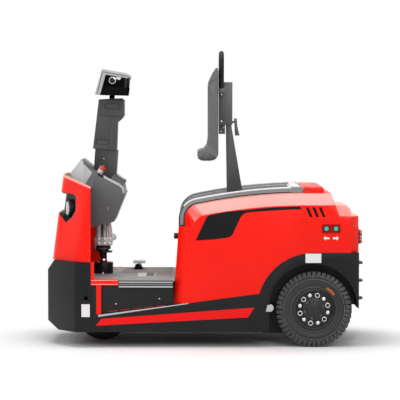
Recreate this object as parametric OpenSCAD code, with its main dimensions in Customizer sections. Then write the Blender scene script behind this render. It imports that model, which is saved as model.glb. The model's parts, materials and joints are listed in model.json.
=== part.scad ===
// Stand-on electric tow tractor with one steered front wheel and two rear wheels.
// X runs to the rear, Y to the vehicle's right and Z up. The origin lies on the ground
// under the middle of the overall box. All lengths are in millimetres.

/* [Overall] */
// Front axle to the face of the bumper
front_overhang = 298; // [285:1:320]
// Distance between the front and rear axles
wheelbase = 1170; // [1140:2:1220]
// Gap between the rear tyres and the rear panel
tail_gap = 36.5; // [30:0.5:60]
// How far the tow coupling stands out behind the rear panel
coupling_reach = 52; // [45:1:60]
// Width over the side skirts
overall_width = 800; // [780:2:860]
// Gap between the ground and the skirts
ground_clearance = 85; // [70:1:95]
// Thickness of the frame plates
frame_t = 12; // [8:1:14]
// Thickness of the sheet panels
panel_t = 5; // [3:0.5:6]

/* [Wheels] */
// Outer diameter of a rear tyre
rear_tyre_d = 415; // [400:1:420]
// Width of a rear tyre
rear_tyre_w = 112; // [100:1:116]
// Diameter over the flange of a rear rim
rear_rim_d = 232; // [220:1:240]
// Pitch circle of the rear wheel bolts
wheel_pcd = 157; // [152:1:170]
// Outer diameter of the front tyre
front_tyre_d = 300; // [290:1:306]
// Width of the front tyre
front_tyre_w = 90; // [80:1:94]
// Diameter over the flange of the front rim
front_rim_d = 152; // [140:1:160]

/* [Platform] */
// Rise of the driver's floor above the front tyre
floor_rise = 74; // [70:1:90]
// Thickness of the rubber floor mat
mat_t = 12; // [8:1:14]
// How far the floor and its side trims stand in from the skirts
floor_inset = 15; // [10:1:20]

/* [Front end] */
// Distance from the bumper's face to the rear edge of the cowl
bumper_l = 249; // [240:1:256]
// Height of the top of the bumper
bumper_top = 468; // [455:1:480]
// Length of the bumper's angled corner
corner_l = 162; // [150:1:170]
// Width of the bumper's angled corner
corner_w = 200; // [180:1:220]
// Height of the cowl's rim at the front
cowl_front_h = 941; // [930:1:955]
// Fall of the cowl's rim from the front to its rear edge
rim_fall = 61; // [50:1:75]
// How far the cowl's front leans back over its height
cowl_lean = 60; // [50:1:68]

/* [Steering] */
// Backward lean of the steering column in degrees
column_lean = 4; // [2:0.5:5]
// Length of the steering column from its foot to its neck
column_l = 728; // [715:1:740]
// Width of the console
console_w = 380; // [350:2:410]
// Width of the steering head over its hand guards
head_w = 420; // [390:2:440]

/* [Rear body] */
// Rear axle to the foot of the bulkhead behind the driver
body_reach = 768; // [755:1:780]
// Height of the body's top at the hinge of the bonnet
body_top = 843; // [830:1:850]
// Radius of the bonnet's long curve
crown_r = 2852; // [2700:4:3000]
// Drop from the body's top to the rear deck
deck_drop = 127; // [115:1:135]
// Width of the bevel along the shoulders
shoulder_w = 60; // [50:1:66]
// Height of the bevel along the shoulders
shoulder_h = 65; // [55:1:75]
// Height of the bonnet's rails
rail_h = 34; // [30:1:38]
// Width of the bonnet's rails
rail_w = 40; // [34:1:46]

/* [Backrest] */
// Height of the slide's foot above the body's top
mast_h = 368; // [350:1:390]
// Rise of the grab hoop above its bracket
hoop_rise = 211; // [190:1:230]
// Width of the back pad
pad_w = 380; // [340:2:420]
// Height of the back pad
pad_h = 519; // [505:1:530]
// Travel of the backrest on its mast
backrest_travel = 80; // [60:1:80]

/* [Hidden] */

$fn = 64;
// Segments on the round parts inside a hull
hull_fn = 32;
// How far every cut runs past the face it opens
overrun = 20;
// Running clearance of a pin or shaft in its hole
pin_gap = 0.05;
// Gap between fixed faces of different bodies, and between curved faces that seat on each other
seat_gap = 0.3;

// Main stations
rear_overhang = rear_tyre_d / 2 + tail_gap;
floor_h = front_tyre_d + floor_rise;
deck_h = body_top - deck_drop;
overall_length = front_overhang + wheelbase + rear_overhang + coupling_reach;
half_l = overall_length / 2;
half_w = overall_width / 2;
front_x = -half_l;
front_axle_x = front_x + front_overhang;
rear_axle_x = front_axle_x + wheelbase;
tail_x = rear_axle_x + rear_overhang;
cowl_rear_x = front_x + bumper_l;
foot_x = rear_axle_x - body_reach;
rear_axle_z = rear_tyre_d / 2;
front_axle_z = front_tyre_d / 2;
inner_w = half_w - frame_t;
mat_bottom = floor_h - mat_t;
deck_t = 8;
deck_bottom = mat_bottom - deck_t;

// Outlines and paths
function unit(v) = v / norm(v);
// Moves every edge of an anticlockwise outline inwards by d
function inset(points, d) = [
    for (i = [0 : len(points) - 1])
        let (
            n = len(points),
            u = unit(points[i] - points[(i + n - 1) % n]),
            v = unit(points[(i + 1) % n] - points[i]),
            a = [-u[1], u[0]],
            b = [-v[1], v[0]]
        )
        points[i] + (a + b) * d / (1 + a * b)
];
function arc(centre, r, from, to, steps) = [
    for (i = [0 : steps]) let (t = from + (to - from) * i / steps) centre + r * [cos(t), sin(t)]
];
function scaled(shares, size) = [for (p = shares) [p[0] * size[0], p[1] * size[1]]];

// Extrudes an outline drawn in X and Z across the width w, centred on Y
module across(w) {
    rotate([90, 0, 0]) linear_extrude(w, center = true) children();
}
// Extrudes an outline drawn in X and Z from y to y + t
module plate(y, t) {
    translate([0, y + t, 0]) rotate([90, 0, 0]) linear_extrude(t) children();
}
module both_sides() {
    children();
    mirror([0, 1, 0]) children();
}
module box(from, to) {
    translate(from) cube(to - from);
}
// A cylinder along Y, centred at y
module shaft_y(x, y, z, d, l) {
    translate([x, y, z]) rotate([90, 0, 0]) cylinder(d = d, h = l, center = true);
}
// A cylinder along X that starts at x
module shaft_x(x, y, z, d, l) {
    translate([x, y, z]) rotate([0, 90, 0]) cylinder(d = d, h = l);
}

// Front bumper
bumper_top_bevel = [38, 55];
bumper_bottom_bevel = [62, 45];
lash_hole_d = 24;
lash_hole_setback = 26;
lash_hole_x = cowl_rear_x - lash_hole_setback;
lash_hole_z = 270;

function bumper_plan(end_x) = [
    [end_x, half_w], [front_x + corner_l, half_w], [front_x, half_w - corner_w],
    [front_x, corner_w - half_w], [front_x + corner_l, -half_w], [end_x, -half_w]
];

// The bumper's side view, with its bevels drawn on past the top and bottom by up
function bumper_side(end_x, up) = [
    [end_x, bumper_top + up],
    [front_x + bumper_top_bevel[0] * (1 + up / bumper_top_bevel[1]), bumper_top + up],
    [front_x, bumper_top - bumper_top_bevel[1]],
    [front_x, ground_clearance + bumper_bottom_bevel[1]],
    [front_x + bumper_bottom_bevel[0] * (1 + up / bumper_bottom_bevel[1]), ground_clearance - up],
    [end_x, ground_clearance - up]
];

module front_bumper() {
    inner_end = cowl_rear_x + overrun + frame_t;
    color("#2b2b2d") difference() {
        intersection() {
            linear_extrude(bumper_top) polygon(bumper_plan(cowl_rear_x));
            across(overall_width) polygon(bumper_side(cowl_rear_x, 0));
        }
        intersection() {
            translate([0, 0, -overrun]) linear_extrude(2 * bumper_top)
                polygon(inset(bumper_plan(inner_end), frame_t));
            across(overall_width) polygon(inset(bumper_side(inner_end, 2 * overrun), frame_t));
        }
        shaft_y(lash_hole_x, 0, lash_hole_z, lash_hole_d, overall_width + overrun);
    }
}

// Side skirts
arch_gap = 32.5;
flare_w = 72;
arch_r = rear_tyre_d / 2 + arch_gap;
flare_r = arch_r + flare_w;
arch_shift = 6;
arch_rise = 12;
rear_leg_z = 213;
rear_leg_slope = [31, 26];
sill_front_h = 178;
sill_rear_h = 335;
post_l = 30;
post_drop = 33;
post_top = floor_h - post_drop;
post_x = cowl_rear_x + post_l;
flare_top = rear_axle_z + flare_r;
arch_x = rear_axle_x - arch_shift;
arch_z = rear_axle_z + arch_rise;

// Height of the sill's top edge at x
function sill_z(x) = sill_front_h
    + (sill_rear_h - sill_front_h) * (x - post_x) / (rear_axle_x - post_x);

// The skirt without its wheel arch, in X and Z
module skirt_outline() {
    polygon([
        [cowl_rear_x, ground_clearance], [rear_axle_x, ground_clearance],
        [rear_axle_x, sill_rear_h], [post_x, sill_front_h],
        [post_x, post_top], [cowl_rear_x, post_top]
    ]);
    intersection() {
        translate([rear_axle_x, rear_axle_z]) circle(flare_r, $fn = 96);
        translate([rear_axle_x - flare_r, ground_clearance])
            square([flare_r, flare_top - ground_clearance]);
    }
    translate([rear_axle_x, ground_clearance])
        square([rear_overhang, flare_top - ground_clearance]);
}

module arch_outline(r) {
    translate([arch_x, arch_z]) circle(r, $fn = 96);
    translate([arch_x - r, -overrun]) square([2 * r, arch_z + overrun]);
}

module left_skirt() {
    color("#2b2b2d") plate(-half_w, frame_t) difference() {
        skirt_outline();
        arch_outline(arch_r);
        polygon([
            [arch_x, -overrun], [tail_x + overrun, -overrun], [tail_x + overrun, rear_leg_z],
            [tail_x, rear_leg_z], [tail_x - rear_leg_slope[0], rear_leg_z + rear_leg_slope[1]],
            [arch_x, rear_leg_z + rear_leg_slope[1]]
        ]);
    }
}

module right_skirt() {
    mirror([0, 1, 0]) left_skirt();
}

// Frame, floor and battery tray
well_w = 370;
rib_t = 12;
rib_bottom = 205;
spar_below = 57.5;
tray_z = rear_axle_z - spar_below;
tray_t = 12;
tray_gap = 18;
wheel_inset = 15;
house_gap = 15;
house_t = 4;
house_y = half_w - wheel_inset - rear_tyre_w - house_gap;
spar_gap = 31;
spar_t = 12;
spar_y = house_y - spar_gap - spar_t;
spar_h = 300;
spar_step = 130;
plate_rise = 6;
axle_tube_d = 90;
stem_d = 40;
stem_hole_d = 56;
deck_front = front_x + corner_l + frame_t;
tray_inset = 30;
tray_x = foot_x + tray_inset;
spar_x = arch_x - arch_r - house_t - tray_gap;

module cross_members() {
    color("#29292b") difference() {
        union() {
            box([deck_front, -inner_w, deck_bottom], [foot_x, inner_w, mat_bottom]);
            both_sides() box(
                [deck_front, well_w / 2, rib_bottom],
                [tray_x + rib_t, well_w / 2 + rib_t, deck_bottom]
            );
            box([tray_x, -inner_w, tray_z], [spar_x, inner_w, tray_z + tray_t]);
            box([tray_x, -lid_y, tray_z], [tray_x + rib_t, lid_y, deck_bottom]);
            box([tray_x - tray_inset, -lid_y, deck_bottom], [tray_x + rib_t, lid_y, mat_bottom]);
            both_sides() box(
                [spar_x - rib_t, spar_y, tray_z],
                [tail_x - frame_t, spar_y + spar_t, tray_z + spar_h]
            );
        }
        translate([front_axle_x, 0, deck_bottom - overrun])
            cylinder(d = stem_hole_d, h = deck_t + 2 * overrun);
        shaft_y(rear_axle_x, 0, rear_axle_z, axle_tube_d + 2 * seat_gap, overall_width);
        box([rear_axle_x + spar_step, -half_w, 0], [tail_x, half_w, rear_leg_z + plate_rise]);
    }
}

face_lean_share = 0.0674;
face_foot_z = 243;
function face_x(z) = foot_x + face_lean_share * (z - face_foot_z);
mat_end = face_x(mat_bottom) - seat_gap;

module floor_mat() {
    color("#3a3a3c") difference() {
        box([deck_front, floor_inset - half_w, mat_bottom], [mat_end, half_w - floor_inset, floor_h]);
        translate([front_axle_x, 0, mat_bottom - overrun])
            cylinder(d = stem_hole_d, h = mat_t + 2 * overrun);
    }
}

// Step panels behind the sills, with the edge trims of the floor
step_panel_t = 8;
step_panel_drop = 60;
strip_l = 27;
step_x = post_x + strip_l;
trim_h = 32;
trim_drop = 12;
trim_bottom = floor_h - trim_drop - trim_h;

module step_panels() {
    color("#303032") both_sides() {
        plate(-inner_w, step_panel_t) polygon([
            [post_x, sill_z(post_x) - step_panel_drop],
            [foot_x, sill_z(foot_x) - step_panel_drop],
            [foot_x, deck_bottom],
            [post_x, deck_bottom]
        ]);
        box([frame_bar_end, -half_w, trim_bottom], [foot_x, -inner_w, trim_bottom + trim_h]);
    }
}

// Red frames at the front of the steps
frame_bar_l = 151;
frame_bar_h = 34;
frame_post_l = 18;
frame_bar_lap = 0;
frame_bar_x = cowl_rear_x - frame_bar_lap;
frame_bar_end = frame_bar_x + frame_bar_l;

module step_frames() {
    color("#c8102e") both_sides() {
        box(
            [frame_bar_x, -half_w, post_top],
            [frame_bar_end, -inner_w, post_top + frame_bar_h]
        );
        box([post_x, -half_w, sill_z(step_x)], [step_x, -inner_w, post_top]);
        box(
            [frame_bar_x, -half_w, post_top + frame_bar_h],
            [frame_bar_x + frame_post_l, -inner_w, bumper_top]
        );
    }
}

// Front cowl with the window for the lamps
cowl_t = 6;
cowl_setback = 25;
cowl_edge_r = 110;
cowl_top_narrow = 12;
slice_t = 1;
cowl_top_z = cowl_front_h + slice_t;
lamp_window_shares = [
    [-0.07, 0.575], [0.177, 0.575], [0.422, 0.44], [0.57, 0.5], [0.659, 0.586], [0.659, 0.744],
    [0.59, 0.776], [-0.07, 0.8]
];
lamp_window = [
    for (p = lamp_window_shares) [
        front_x + p[0] * bumper_l,
        bumper_top + p[1] * (cowl_front_h - bumper_top)
    ]
];

// A thin slice of the cowl with rounded edges along its angled corners
module cowl_slice(nose_x, reach, t, z) {
    r = cowl_edge_r - t;
    outline = inset([
        [cowl_rear_x + 2 * cowl_edge_r, reach], [nose_x + corner_l, reach],
        [nose_x, reach - corner_w], [nose_x, corner_w - reach],
        [nose_x + corner_l, -reach], [cowl_rear_x + 2 * cowl_edge_r, -reach]
    ], r);
    for (i = [1 : 4])
        translate([outline[i][0], outline[i][1], z]) cylinder(r = r, h = slice_t, $fn = 2 * hull_fn);
    translate([cowl_rear_x - slice_t, -reach, z]) cube([slice_t, 2 * reach, slice_t]);
}

// The space inside the cowl's skin, t inside its outer face; a drop opens its foot
module cowl_volume(t, drop) {
    share = drop / (cowl_top_z - bumper_top);
    difference() {
        hull() {
            cowl_slice(
                front_x + cowl_setback - share * cowl_lean + t, half_w + share * cowl_top_narrow - t,
                t, bumper_top - drop
            );
            cowl_slice(
                front_x + cowl_setback + cowl_lean + t, half_w - cowl_top_narrow - t, t,
                cowl_top_z - slice_t
            );
        }
        translate([cowl_rear_x, -overall_width, 0])
            cube([overall_width, 2 * overall_width, 2 * cowl_top_z]);
    }
}

// Everything above the cowl's sloping rim, raised by up
module above_rim(up) {
    run = bumper_l - cowl_setback - cowl_lean;
    slope = rim_fall / run;
    far = bumper_l;
    translate([0, 0, up]) across(2 * overall_width) polygon([
        [cowl_rear_x - run - far, cowl_front_h + far * slope],
        [cowl_rear_x + far, cowl_front_h - rim_fall - far * slope],
        [cowl_rear_x + far, 2 * cowl_front_h],
        [cowl_rear_x - run - far, 2 * cowl_front_h]
    ]);
}

module front_cowl() {
    color("#c8102e") difference() {
        cowl_volume(0, 0);
        cowl_volume(cowl_t, overrun);
        translate([overrun, 0, 0]) cowl_volume(cowl_t, overrun);
        above_rim(0);
        across(2 * overall_width) polygon(lamp_window);
    }
}

// Lamp fascia, sunk into the cowl's window, and the headlamps
fascia_t = 20;
fascia_lap = 14;
fascia_wall = 5;
fascia_recess = 22;
fascia_gap = cowl_t + seat_gap;
headlamp_d = 96;
headlamp_l = 45;
headlamp_share = 0.605;
headlamp_turn = 18;
headlamp_set = 55;
headlamp_out = 25;
headlamp_z = bumper_top + headlamp_share * (cowl_front_h - bumper_top);

module headlamp_body(gap) {
    nose = front_x + cowl_setback + cowl_lean * headlamp_share;
    translate([nose + headlamp_set, corner_w - half_w - headlamp_out, headlamp_z])
        rotate([0, 0, headlamp_turn]) rotate([0, -90, 0]) translate([0, 0, -headlamp_l - gap])
            cylinder(d = headlamp_d + 2 * gap, h = headlamp_l + (gap > 0 ? fascia_recess : 0));
}

module lamp_fascia() {
    color("#232325") difference() {
        intersection() {
            cowl_volume(fascia_gap, 0);
            across(2 * overall_width) polygon(inset(lamp_window, -fascia_lap));
        }
        difference() {
            across(2 * overall_width) polygon(inset(lamp_window, fascia_wall));
            cowl_volume(fascia_gap + fascia_recess, overrun);
        }
        cowl_volume(fascia_gap + fascia_recess + fascia_t, overrun);
        translate([overrun, 0, 0]) cowl_volume(fascia_gap + fascia_recess + fascia_t, overrun);
        both_sides() headlamp_body(seat_gap);
    }
}

module headlamps() {
    color("#e8ecef") both_sides() headlamp_body(0);
}

// Console around the foot of the steering column
console_corner = 77;
console_setback = 121;
console_rear_run = 131;
console_front = front_x + console_setback;
console_l = front_axle_x + console_rear_run - console_front;
console_bottom = 645;
console_h = 377;
console_shares = [
    [0.396, 0], [0.799, 0.082], [1, 0.491], [0.932, 0.584], [0.455, 0.833], [0.205, 1], [0, 0.793]
];
closing_t = 4;
closing_drop = 14;
column_foot_z = 640;

module console_block() {
    intersection() {
        translate([console_front, 0, console_bottom]) across(console_w)
            polygon(scaled(console_shares, [console_l, console_h]));
        translate([0, 0, console_bottom]) linear_extrude(console_h) polygon([
            [console_front + console_l, console_w / 2],
            [console_front + console_corner, console_w / 2],
            [console_front, console_w / 2 - console_corner],
            [console_front, console_corner - console_w / 2],
            [console_front + console_corner, -console_w / 2],
            [console_front + console_l, -console_w / 2]
        ]);
    }
}

// Places things that lean with the steering column
module on_column() {
    translate([front_axle_x, 0, column_foot_z]) rotate([0, column_lean, 0]) children();
}

post_w = 116;
post_u = [-72, 55];
post_foot = 150;
cover_start_share = 0.5975;
cover_start = cover_start_share * column_l;
cover_w = 140;

module column_block(gap) {
    on_column() box(
        [post_u[0] - gap, -post_w / 2 - gap, post_foot - gap],
        [post_u[1] + gap, post_w / 2 + gap, cover_start + gap]
    );
}

pod_l = 78;
pod_w = 150;
pod_h = 34;
pod_share = 0.72;

module console() {
    color("#57585a") difference() {
        union() {
            console_block();
            on_console(pod_share, 0)
                translate([0, -pod_w / 2, -pod_h]) cube([pod_l, pod_w, 2 * pod_h]);
            difference() {
                intersection() {
                    cowl_volume(cowl_t + seat_gap, 0);
                    above_rim(-closing_drop - closing_t);
                }
                above_rim(-closing_drop);
            }
        }
        column_block(0);
    }
}

// Emergency stop on the console's sloping top
stop_share = 0.46;
stop_base_d = 34;
stop_base_h = 16;
stop_cap_d = 40;
stop_cap_h = 20;
stop_inset = 44;
console_slope = atan((console_shares[5][1] - console_shares[3][1]) * console_h
    / ((console_shares[3][0] - console_shares[5][0]) * console_l));

module on_console(share, y) {
    top = console_shares[5];
    end = console_shares[3];
    at = top + (end - top) * share;
    translate([console_front + at[0] * console_l, y, console_bottom + at[1] * console_h])
        rotate([0, console_slope, 0]) children();
}

module stop_button() {
    color("#d21f26") difference() {
        on_console(stop_share, stop_inset - console_w / 2) {
            translate([0, 0, -overrun]) cylinder(d = stop_base_d, h = stop_base_h + overrun);
            translate([0, 0, stop_base_h]) cylinder(d = stop_cap_d, h = stop_cap_h);
        }
        console_block();
    }
}

// Steering column with its cover
cover_front = 84;
cover_rear = 48;
waist = 43;
brow = 67;
brow_far = 77;
cap_rear = 71;
cap_edge = 56;
cap_front = 70;
waist_drop = 137;
brow_drop = 113;
brow_far_drop = 95;
cap_drop = 10;
cap_slope = 15;
cover_outline = [
    [-cover_front, cover_start], [cover_rear, cover_start], [waist, column_l - waist_drop],
    [brow, column_l - brow_drop], [brow_far, column_l - brow_far_drop],
    [cap_rear, column_l - cap_drop], [cap_edge, column_l], [-cap_front, column_l - cap_slope]
];
neck_d = 30;
neck_sink = 40;

module steering_column() {
    color("#4a4b4d") difference() {
        union() {
            column_block(0);
            on_column() across(cover_w) polygon(cover_outline);
        }
        on_column() translate([0, 0, column_l - neck_sink])
            cylinder(d = neck_d + 2 * pin_gap, h = neck_sink + overrun);
    }
}

// Steering gear hung under the console, and the seat of the fork's stem on the floor
gear_rise = 119;
gear_bottom = floor_h + gear_rise;
gear_flange_d = 64;
gear_flange_h = 26;
gear_foot_l = 65;
gear_foot_lead = 16;
gear_foot_w = 100;
gear_foot_t = 6;
gear_neck_d = 84;
gear_neck_h = 41;
gear_block_l = 87;
gear_block_lead = 36;
gear_block_w = 96;
gear_block_h = 47;
gear_post_y = 26;
gear_front_post_d = 32;
gear_front_post_lead = 26;
gear_rear_post_d = 22;
gear_rear_post_run = 8;
gear_rear_post_pitch = 25;
gear_boss_d = 36;
gear_boss_l = 44;
gear_boss_run = 56;
gear_boss_drop = 4;
fitting_d = 17;
fitting_lead = 42;
fitting_drop = 35;
fitting_h = 78;
stem_lap = 35;
stem_top = gear_bottom + stem_lap;
seat_d = 110;
seat_h = 63;

module gear_posts() {
    translate([-gear_front_post_lead, gear_post_y, 0]) cylinder(d = gear_front_post_d, h = console_h);
    for (i = [0, 1])
        translate([gear_rear_post_run + i * gear_rear_post_pitch, gear_post_y, 0])
            cylinder(d = gear_rear_post_d, h = console_h);
    translate([-fitting_lead, gear_post_y, -fitting_drop]) cylinder(d = fitting_d, h = fitting_h);
}

module steering_gear() {
    color("#b9bcbe") difference() {
        translate([front_axle_x, 0, gear_bottom]) {
            cylinder(d = gear_flange_d, h = gear_neck_h);
            translate([-gear_foot_lead, -gear_foot_w / 2, 0])
                cube([gear_foot_l, gear_foot_w, gear_foot_t]);
            translate([0, 0, gear_flange_h]) cylinder(d = gear_neck_d, h = gear_neck_h - gear_flange_h);
            translate([0, 0, gear_neck_h]) {
                translate([-gear_block_lead, -gear_block_w / 2, 0])
                    cube([gear_block_l, gear_block_w, gear_block_h]);
                both_sides() gear_posts();
                shaft_y(gear_boss_run, 0, gear_block_h - gear_boss_drop, gear_boss_d, gear_boss_l);
            }
        }
        console_block();
        translate([console_front, 0, console_bottom]) across(console_w) polygon(scaled(
            [console_shares[0], console_shares[1], [1, 1], [0, 1]], [console_l, console_h]
        ));
        translate([front_axle_x, 0, gear_bottom - overrun])
            cylinder(d = stem_d + 2 * pin_gap, h = stem_top - gear_bottom + overrun + seat_gap);
    }
}

module steer_seat_block(gap) {
    translate([front_axle_x, 0, floor_h]) cylinder(d = seat_d + 2 * gap, h = seat_h + gap);
}

module steer_seat() {
    color("#2b2b2d") difference() {
        steer_seat_block(0);
        translate([front_axle_x, 0, floor_h - overrun])
            cylinder(d = stem_d + 2 * pin_gap, h = seat_h + 2 * overrun);
    }
}

// Pedals on the floor
brake_place_share = 0.485;
brake_x = front_axle_x + brake_place_share * (foot_x - front_axle_x);
brake_y = 250;
brake_pad = [69, 110, 10];
brake_rise = 38;
brake_stalk = [16, 30];
plate_place_share = 0.495;
plate_x = front_axle_x + plate_place_share * (foot_x - front_axle_x);
plate_y = -125;
plate_size = [95, 200, 3];

module pedals() {
    color("#8b8d8f") {
        translate([brake_x, brake_y, floor_h + brake_rise])
            translate(-brake_pad / 2 + [0, 0, brake_pad[2] / 2]) cube(brake_pad);
        translate([brake_x - brake_stalk[0] / 2, brake_y - brake_stalk[1] / 2, floor_h])
            cube([brake_stalk[0], brake_stalk[1], brake_rise]);
        translate([plate_x, plate_y - plate_size[1] / 2, floor_h]) cube(plate_size);
    }
}

// Rear body, drawn as a hollow shell and split into panels
corner_c = 45;
crown_setback = 46;
crown_x = rear_axle_x - crown_setback;
rail_drop = 183;
rail_end_z = body_top - rail_drop;
front_corner_r = 80;
slant_top = 92;
slant_foot = 137;
body_bottom = 160;
rail_y = half_w - shoulder_w;
lid_y = rail_y - rail_w;
curve_steps = 18;
corner_steps = 10;

upper_x = face_x(rail_end_z) + rail_h;
function top_z(x) = body_top - pow(max(crown_x - x, 0), 2) / (2 * crown_r);

// The long curve of the top from start_x to the front, then the rounded corner;
// the front moves back by dx and the top down by dz
function top_curve(start_x, dx, dz, r) =
    let (
        x0 = upper_x + dx,
        a = asin((crown_x - x0 - r) / crown_r),
        xt = x0 + r - r * sin(a),
        zt = top_z(xt) - dz,
        run = xt - start_x
    )
    concat(
        [for (i = [0 : curve_steps - 1]) let (x = start_x + run * i / curve_steps) [x, top_z(x) - dz]],
        arc([x0 + r, zt - r * cos(a)], r, 90 + a, 180, corner_steps)
    );

module lower_profile(t, c, drop) {
    polygon([
        [face_x(body_bottom - drop) + t + c, body_bottom - drop],
        [tail_x - t - c, body_bottom - drop],
        [tail_x - t - c, rail_end_z - t],
        [face_x(rail_end_z) + t + c, rail_end_z - t]
    ]);
}

module upper_profile(dx, dz, c, r, drop) {
    polygon(concat(
        [
            [upper_x + dx, body_bottom - drop],
            [tail_x - c, body_bottom - drop],
            [tail_x - c, body_top - dz]
        ],
        top_curve(crown_x, dx, dz, r)
    ));
}

// What is cut away behind the slant and above the rear deck
module notch(t) {
    across(2 * overall_width) polygon(inset([
        [crown_x + crown_setback + slant_top, body_top],
        [crown_x + crown_setback + slant_foot, deck_h],
        [tail_x + overall_width, deck_h],
        [tail_x + overall_width, body_top + overall_width],
        [crown_x + crown_setback + slant_top, body_top + overall_width]
    ], -t));
}

// The body's volume t inside its skin; a drop opens its foot
module rear_volume(t, drop) {
    difference() {
        union() {
            hull() {
                across(2 * (half_w - corner_c - t)) lower_profile(t, 0, drop);
                across(2 * (half_w - t)) lower_profile(t, corner_c, drop);
            }
            hull() {
                across(2 * (rail_y - t)) upper_profile(t, t, t, front_corner_r - t, drop);
                across(2 * (half_w - t))
                    upper_profile(t + corner_c, t + shoulder_h, t + corner_c, front_corner_r - t, drop);
            }
        }
        notch(t);
    }
}

module rear_shell() {
    difference() {
        rear_volume(0, 0);
        rear_volume(panel_t, overrun);
    }
}

// Slanted vent slots
vent_x = 25;
vent_drop = 129;
vent_bottom = body_top - vent_drop;
vent_h = 53;
vent_w = 15;
vent_pitch = 35;
vent_slant_share = 0.42;

module vents() {
    x = rear_axle_x - vent_x;
    for (i = [0 : 2]) {
        across(2 * overall_width) polygon([
            [x + i * vent_pitch, vent_bottom],
            [x + i * vent_pitch + vent_w, vent_bottom],
            [x + i * vent_pitch + vent_w - vent_h * vent_slant_share, vent_bottom + vent_h],
            [x + i * vent_pitch - vent_h * vent_slant_share, vent_bottom + vent_h]
        ]);
    }
}

module left_side_panel() {
    color("#c8102e") difference() {
        rear_shell();
        box([foot_x - overall_width, -lid_y, 0], [tail_x + overall_width, overall_width, 2 * body_top]);
        plate(-half_w - overrun, half_w - lid_y + 2 * overrun) skirt_outline();
        vents();
    }
}

module right_side_panel() {
    mirror([0, 1, 0]) left_side_panel();
}

module middle_of_body() {
    intersection() {
        rear_shell();
        box([foot_x - overall_width, -lid_y, 0], [tail_x + overall_width, lid_y, 2 * body_top]);
    }
}

module bulkhead() {
    color("#c8102e") intersection() {
        middle_of_body();
        across(overall_width) polygon([
            [foot_x - overrun, mat_bottom],
            [upper_x, mat_bottom],
            [upper_x, rail_end_z],
            [foot_x - overrun, rail_end_z]
        ]);
    }
}

// Rear cowl with the hinge cover and the pockets for the bonnet's hinge arms
hinge_pin_d = 12;
rail_rear_run = 14;
rail_rear_x = crown_x - rail_rear_run;
hinge_reach = 19;
hinge_x = rail_rear_x + hinge_reach;
hinge_nose_r = 16.5;
hinge_rise = 14.5;
hinge_z = body_top + hinge_rise;
knuckle_d = 22;
arm_h = 16;
arm_inset = 4;
cheek_w = 9;
arm_gap = 3;
arm_w = rail_w - cheek_w - arm_inset - arm_gap;
pocket_l = 20;
hinge_cover_l = 91;
hinge_cover_slope = 10;
cowl_start_x = hinge_x - hinge_nose_r;
hump_w = 400;
hump_h = 52;
hump_bevel = 22;
hump_side = 46;
hump_inset = 32;

module hinge_cover_side() {
    translate([hinge_x, hinge_z]) circle(hinge_nose_r);
    polygon([
        [hinge_x - hinge_nose_r, body_top], [hinge_x + hinge_cover_l + hinge_cover_slope, body_top],
        [hinge_x + hinge_cover_l, hinge_z + hinge_nose_r], [hinge_x, hinge_z + hinge_nose_r],
        [hinge_x - hinge_nose_r, hinge_z]
    ]);
}

// The raised block on the rear deck
module hump() {
    end = tail_x - hump_inset;
    start = crown_x;
    intersection() {
        across(2 * half_w) polygon([
            [start, deck_h], [end, deck_h], [end, deck_h + hump_h - hump_bevel],
            [end - hump_bevel, deck_h + hump_h], [start, deck_h + hump_h]
        ]);
        translate([start, 0, 0]) rotate([90, 0, 90]) linear_extrude(end - start) polygon([
            [-hump_w / 2 - hump_side, deck_h], [hump_w / 2 + hump_side, deck_h],
            [hump_w / 2, deck_h + hump_h], [-hump_w / 2, deck_h + hump_h]
        ]);
    }
}

module rear_cowl() {
    color("#c8102e") difference() {
        union() {
            difference() {
                middle_of_body();
                box([foot_x - overrun, -half_w, 0], [cowl_start_x, half_w, 2 * body_top]);
                box([foot_x, -half_w, 0], [tail_x + overrun, half_w, flare_top]);
            }
            across(2 * rail_y) intersection() {
                hinge_cover_side();
                translate([foot_x, body_top]) square([overall_length, body_top]);
            }
            difference() {
                hump();
                rear_volume(panel_t, 0);
            }
        }
        both_sides() box(
            [cowl_start_x - overrun, lid_y + arm_inset - arm_gap, body_top],
            [hinge_x + pocket_l, rail_y - cheek_w, 2 * body_top]
        );
        shaft_y(hinge_x, 0, hinge_z, hinge_pin_d + 2 * pin_gap, overall_width);
    }
}

module hinge_pin() {
    color("#b9bcbe") shaft_y(hinge_x, 0, hinge_z, hinge_pin_d, 2 * rail_y);
}

// Bonnet lid with its two rails
lid_gap = 0.5;
lid_sink = 15;
lid_t = 12;
lid_rear_gap = 8;

// A band that follows the bonnet, between two distances outside the body
function bonnet_band(high, low, rear_x) =
    let (
        outer = top_curve(rear_x, -high, -high, front_corner_r + high),
        inner = top_curve(rear_x, -low, -low, front_corner_r + low),
        n = len(inner)
    )
    concat(
        outer,
        [[upper_x - high, rail_end_z + lid_gap], [upper_x - low, rail_end_z + lid_gap]],
        [for (i = [0 : n - 1]) inner[n - 1 - i]]
    );

module bonnet_panel() {
    across(2 * lid_y) polygon(bonnet_band(rail_h - lid_sink, rail_h - lid_sink - lid_t, lid_rear_x));
}
lid_rear_x = hinge_x - hinge_nose_r - lid_rear_gap;

module bonnet_lid() {
    color("#4d4e50") difference() {
        union() {
            bonnet_panel();
            both_sides() {
                plate(lid_y, rail_w) polygon(bonnet_band(rail_h, lid_gap, rail_rear_x));
                plate(lid_y + arm_inset, arm_w) {
                    translate([hinge_x, hinge_z]) circle(d = knuckle_d);
                    translate([rail_rear_x - arm_h, hinge_z - arm_h / 2])
                        square([hinge_reach + arm_h, arm_h]);
                }
            }
        }
        shaft_y(hinge_x, 0, hinge_z, hinge_pin_d + 2 * pin_gap, overall_width);
    }
}

// Wheel houses behind the arches
house_rise = 20;
house_bottom = rear_leg_z + house_rise;
house_hole_d = 130;

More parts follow.
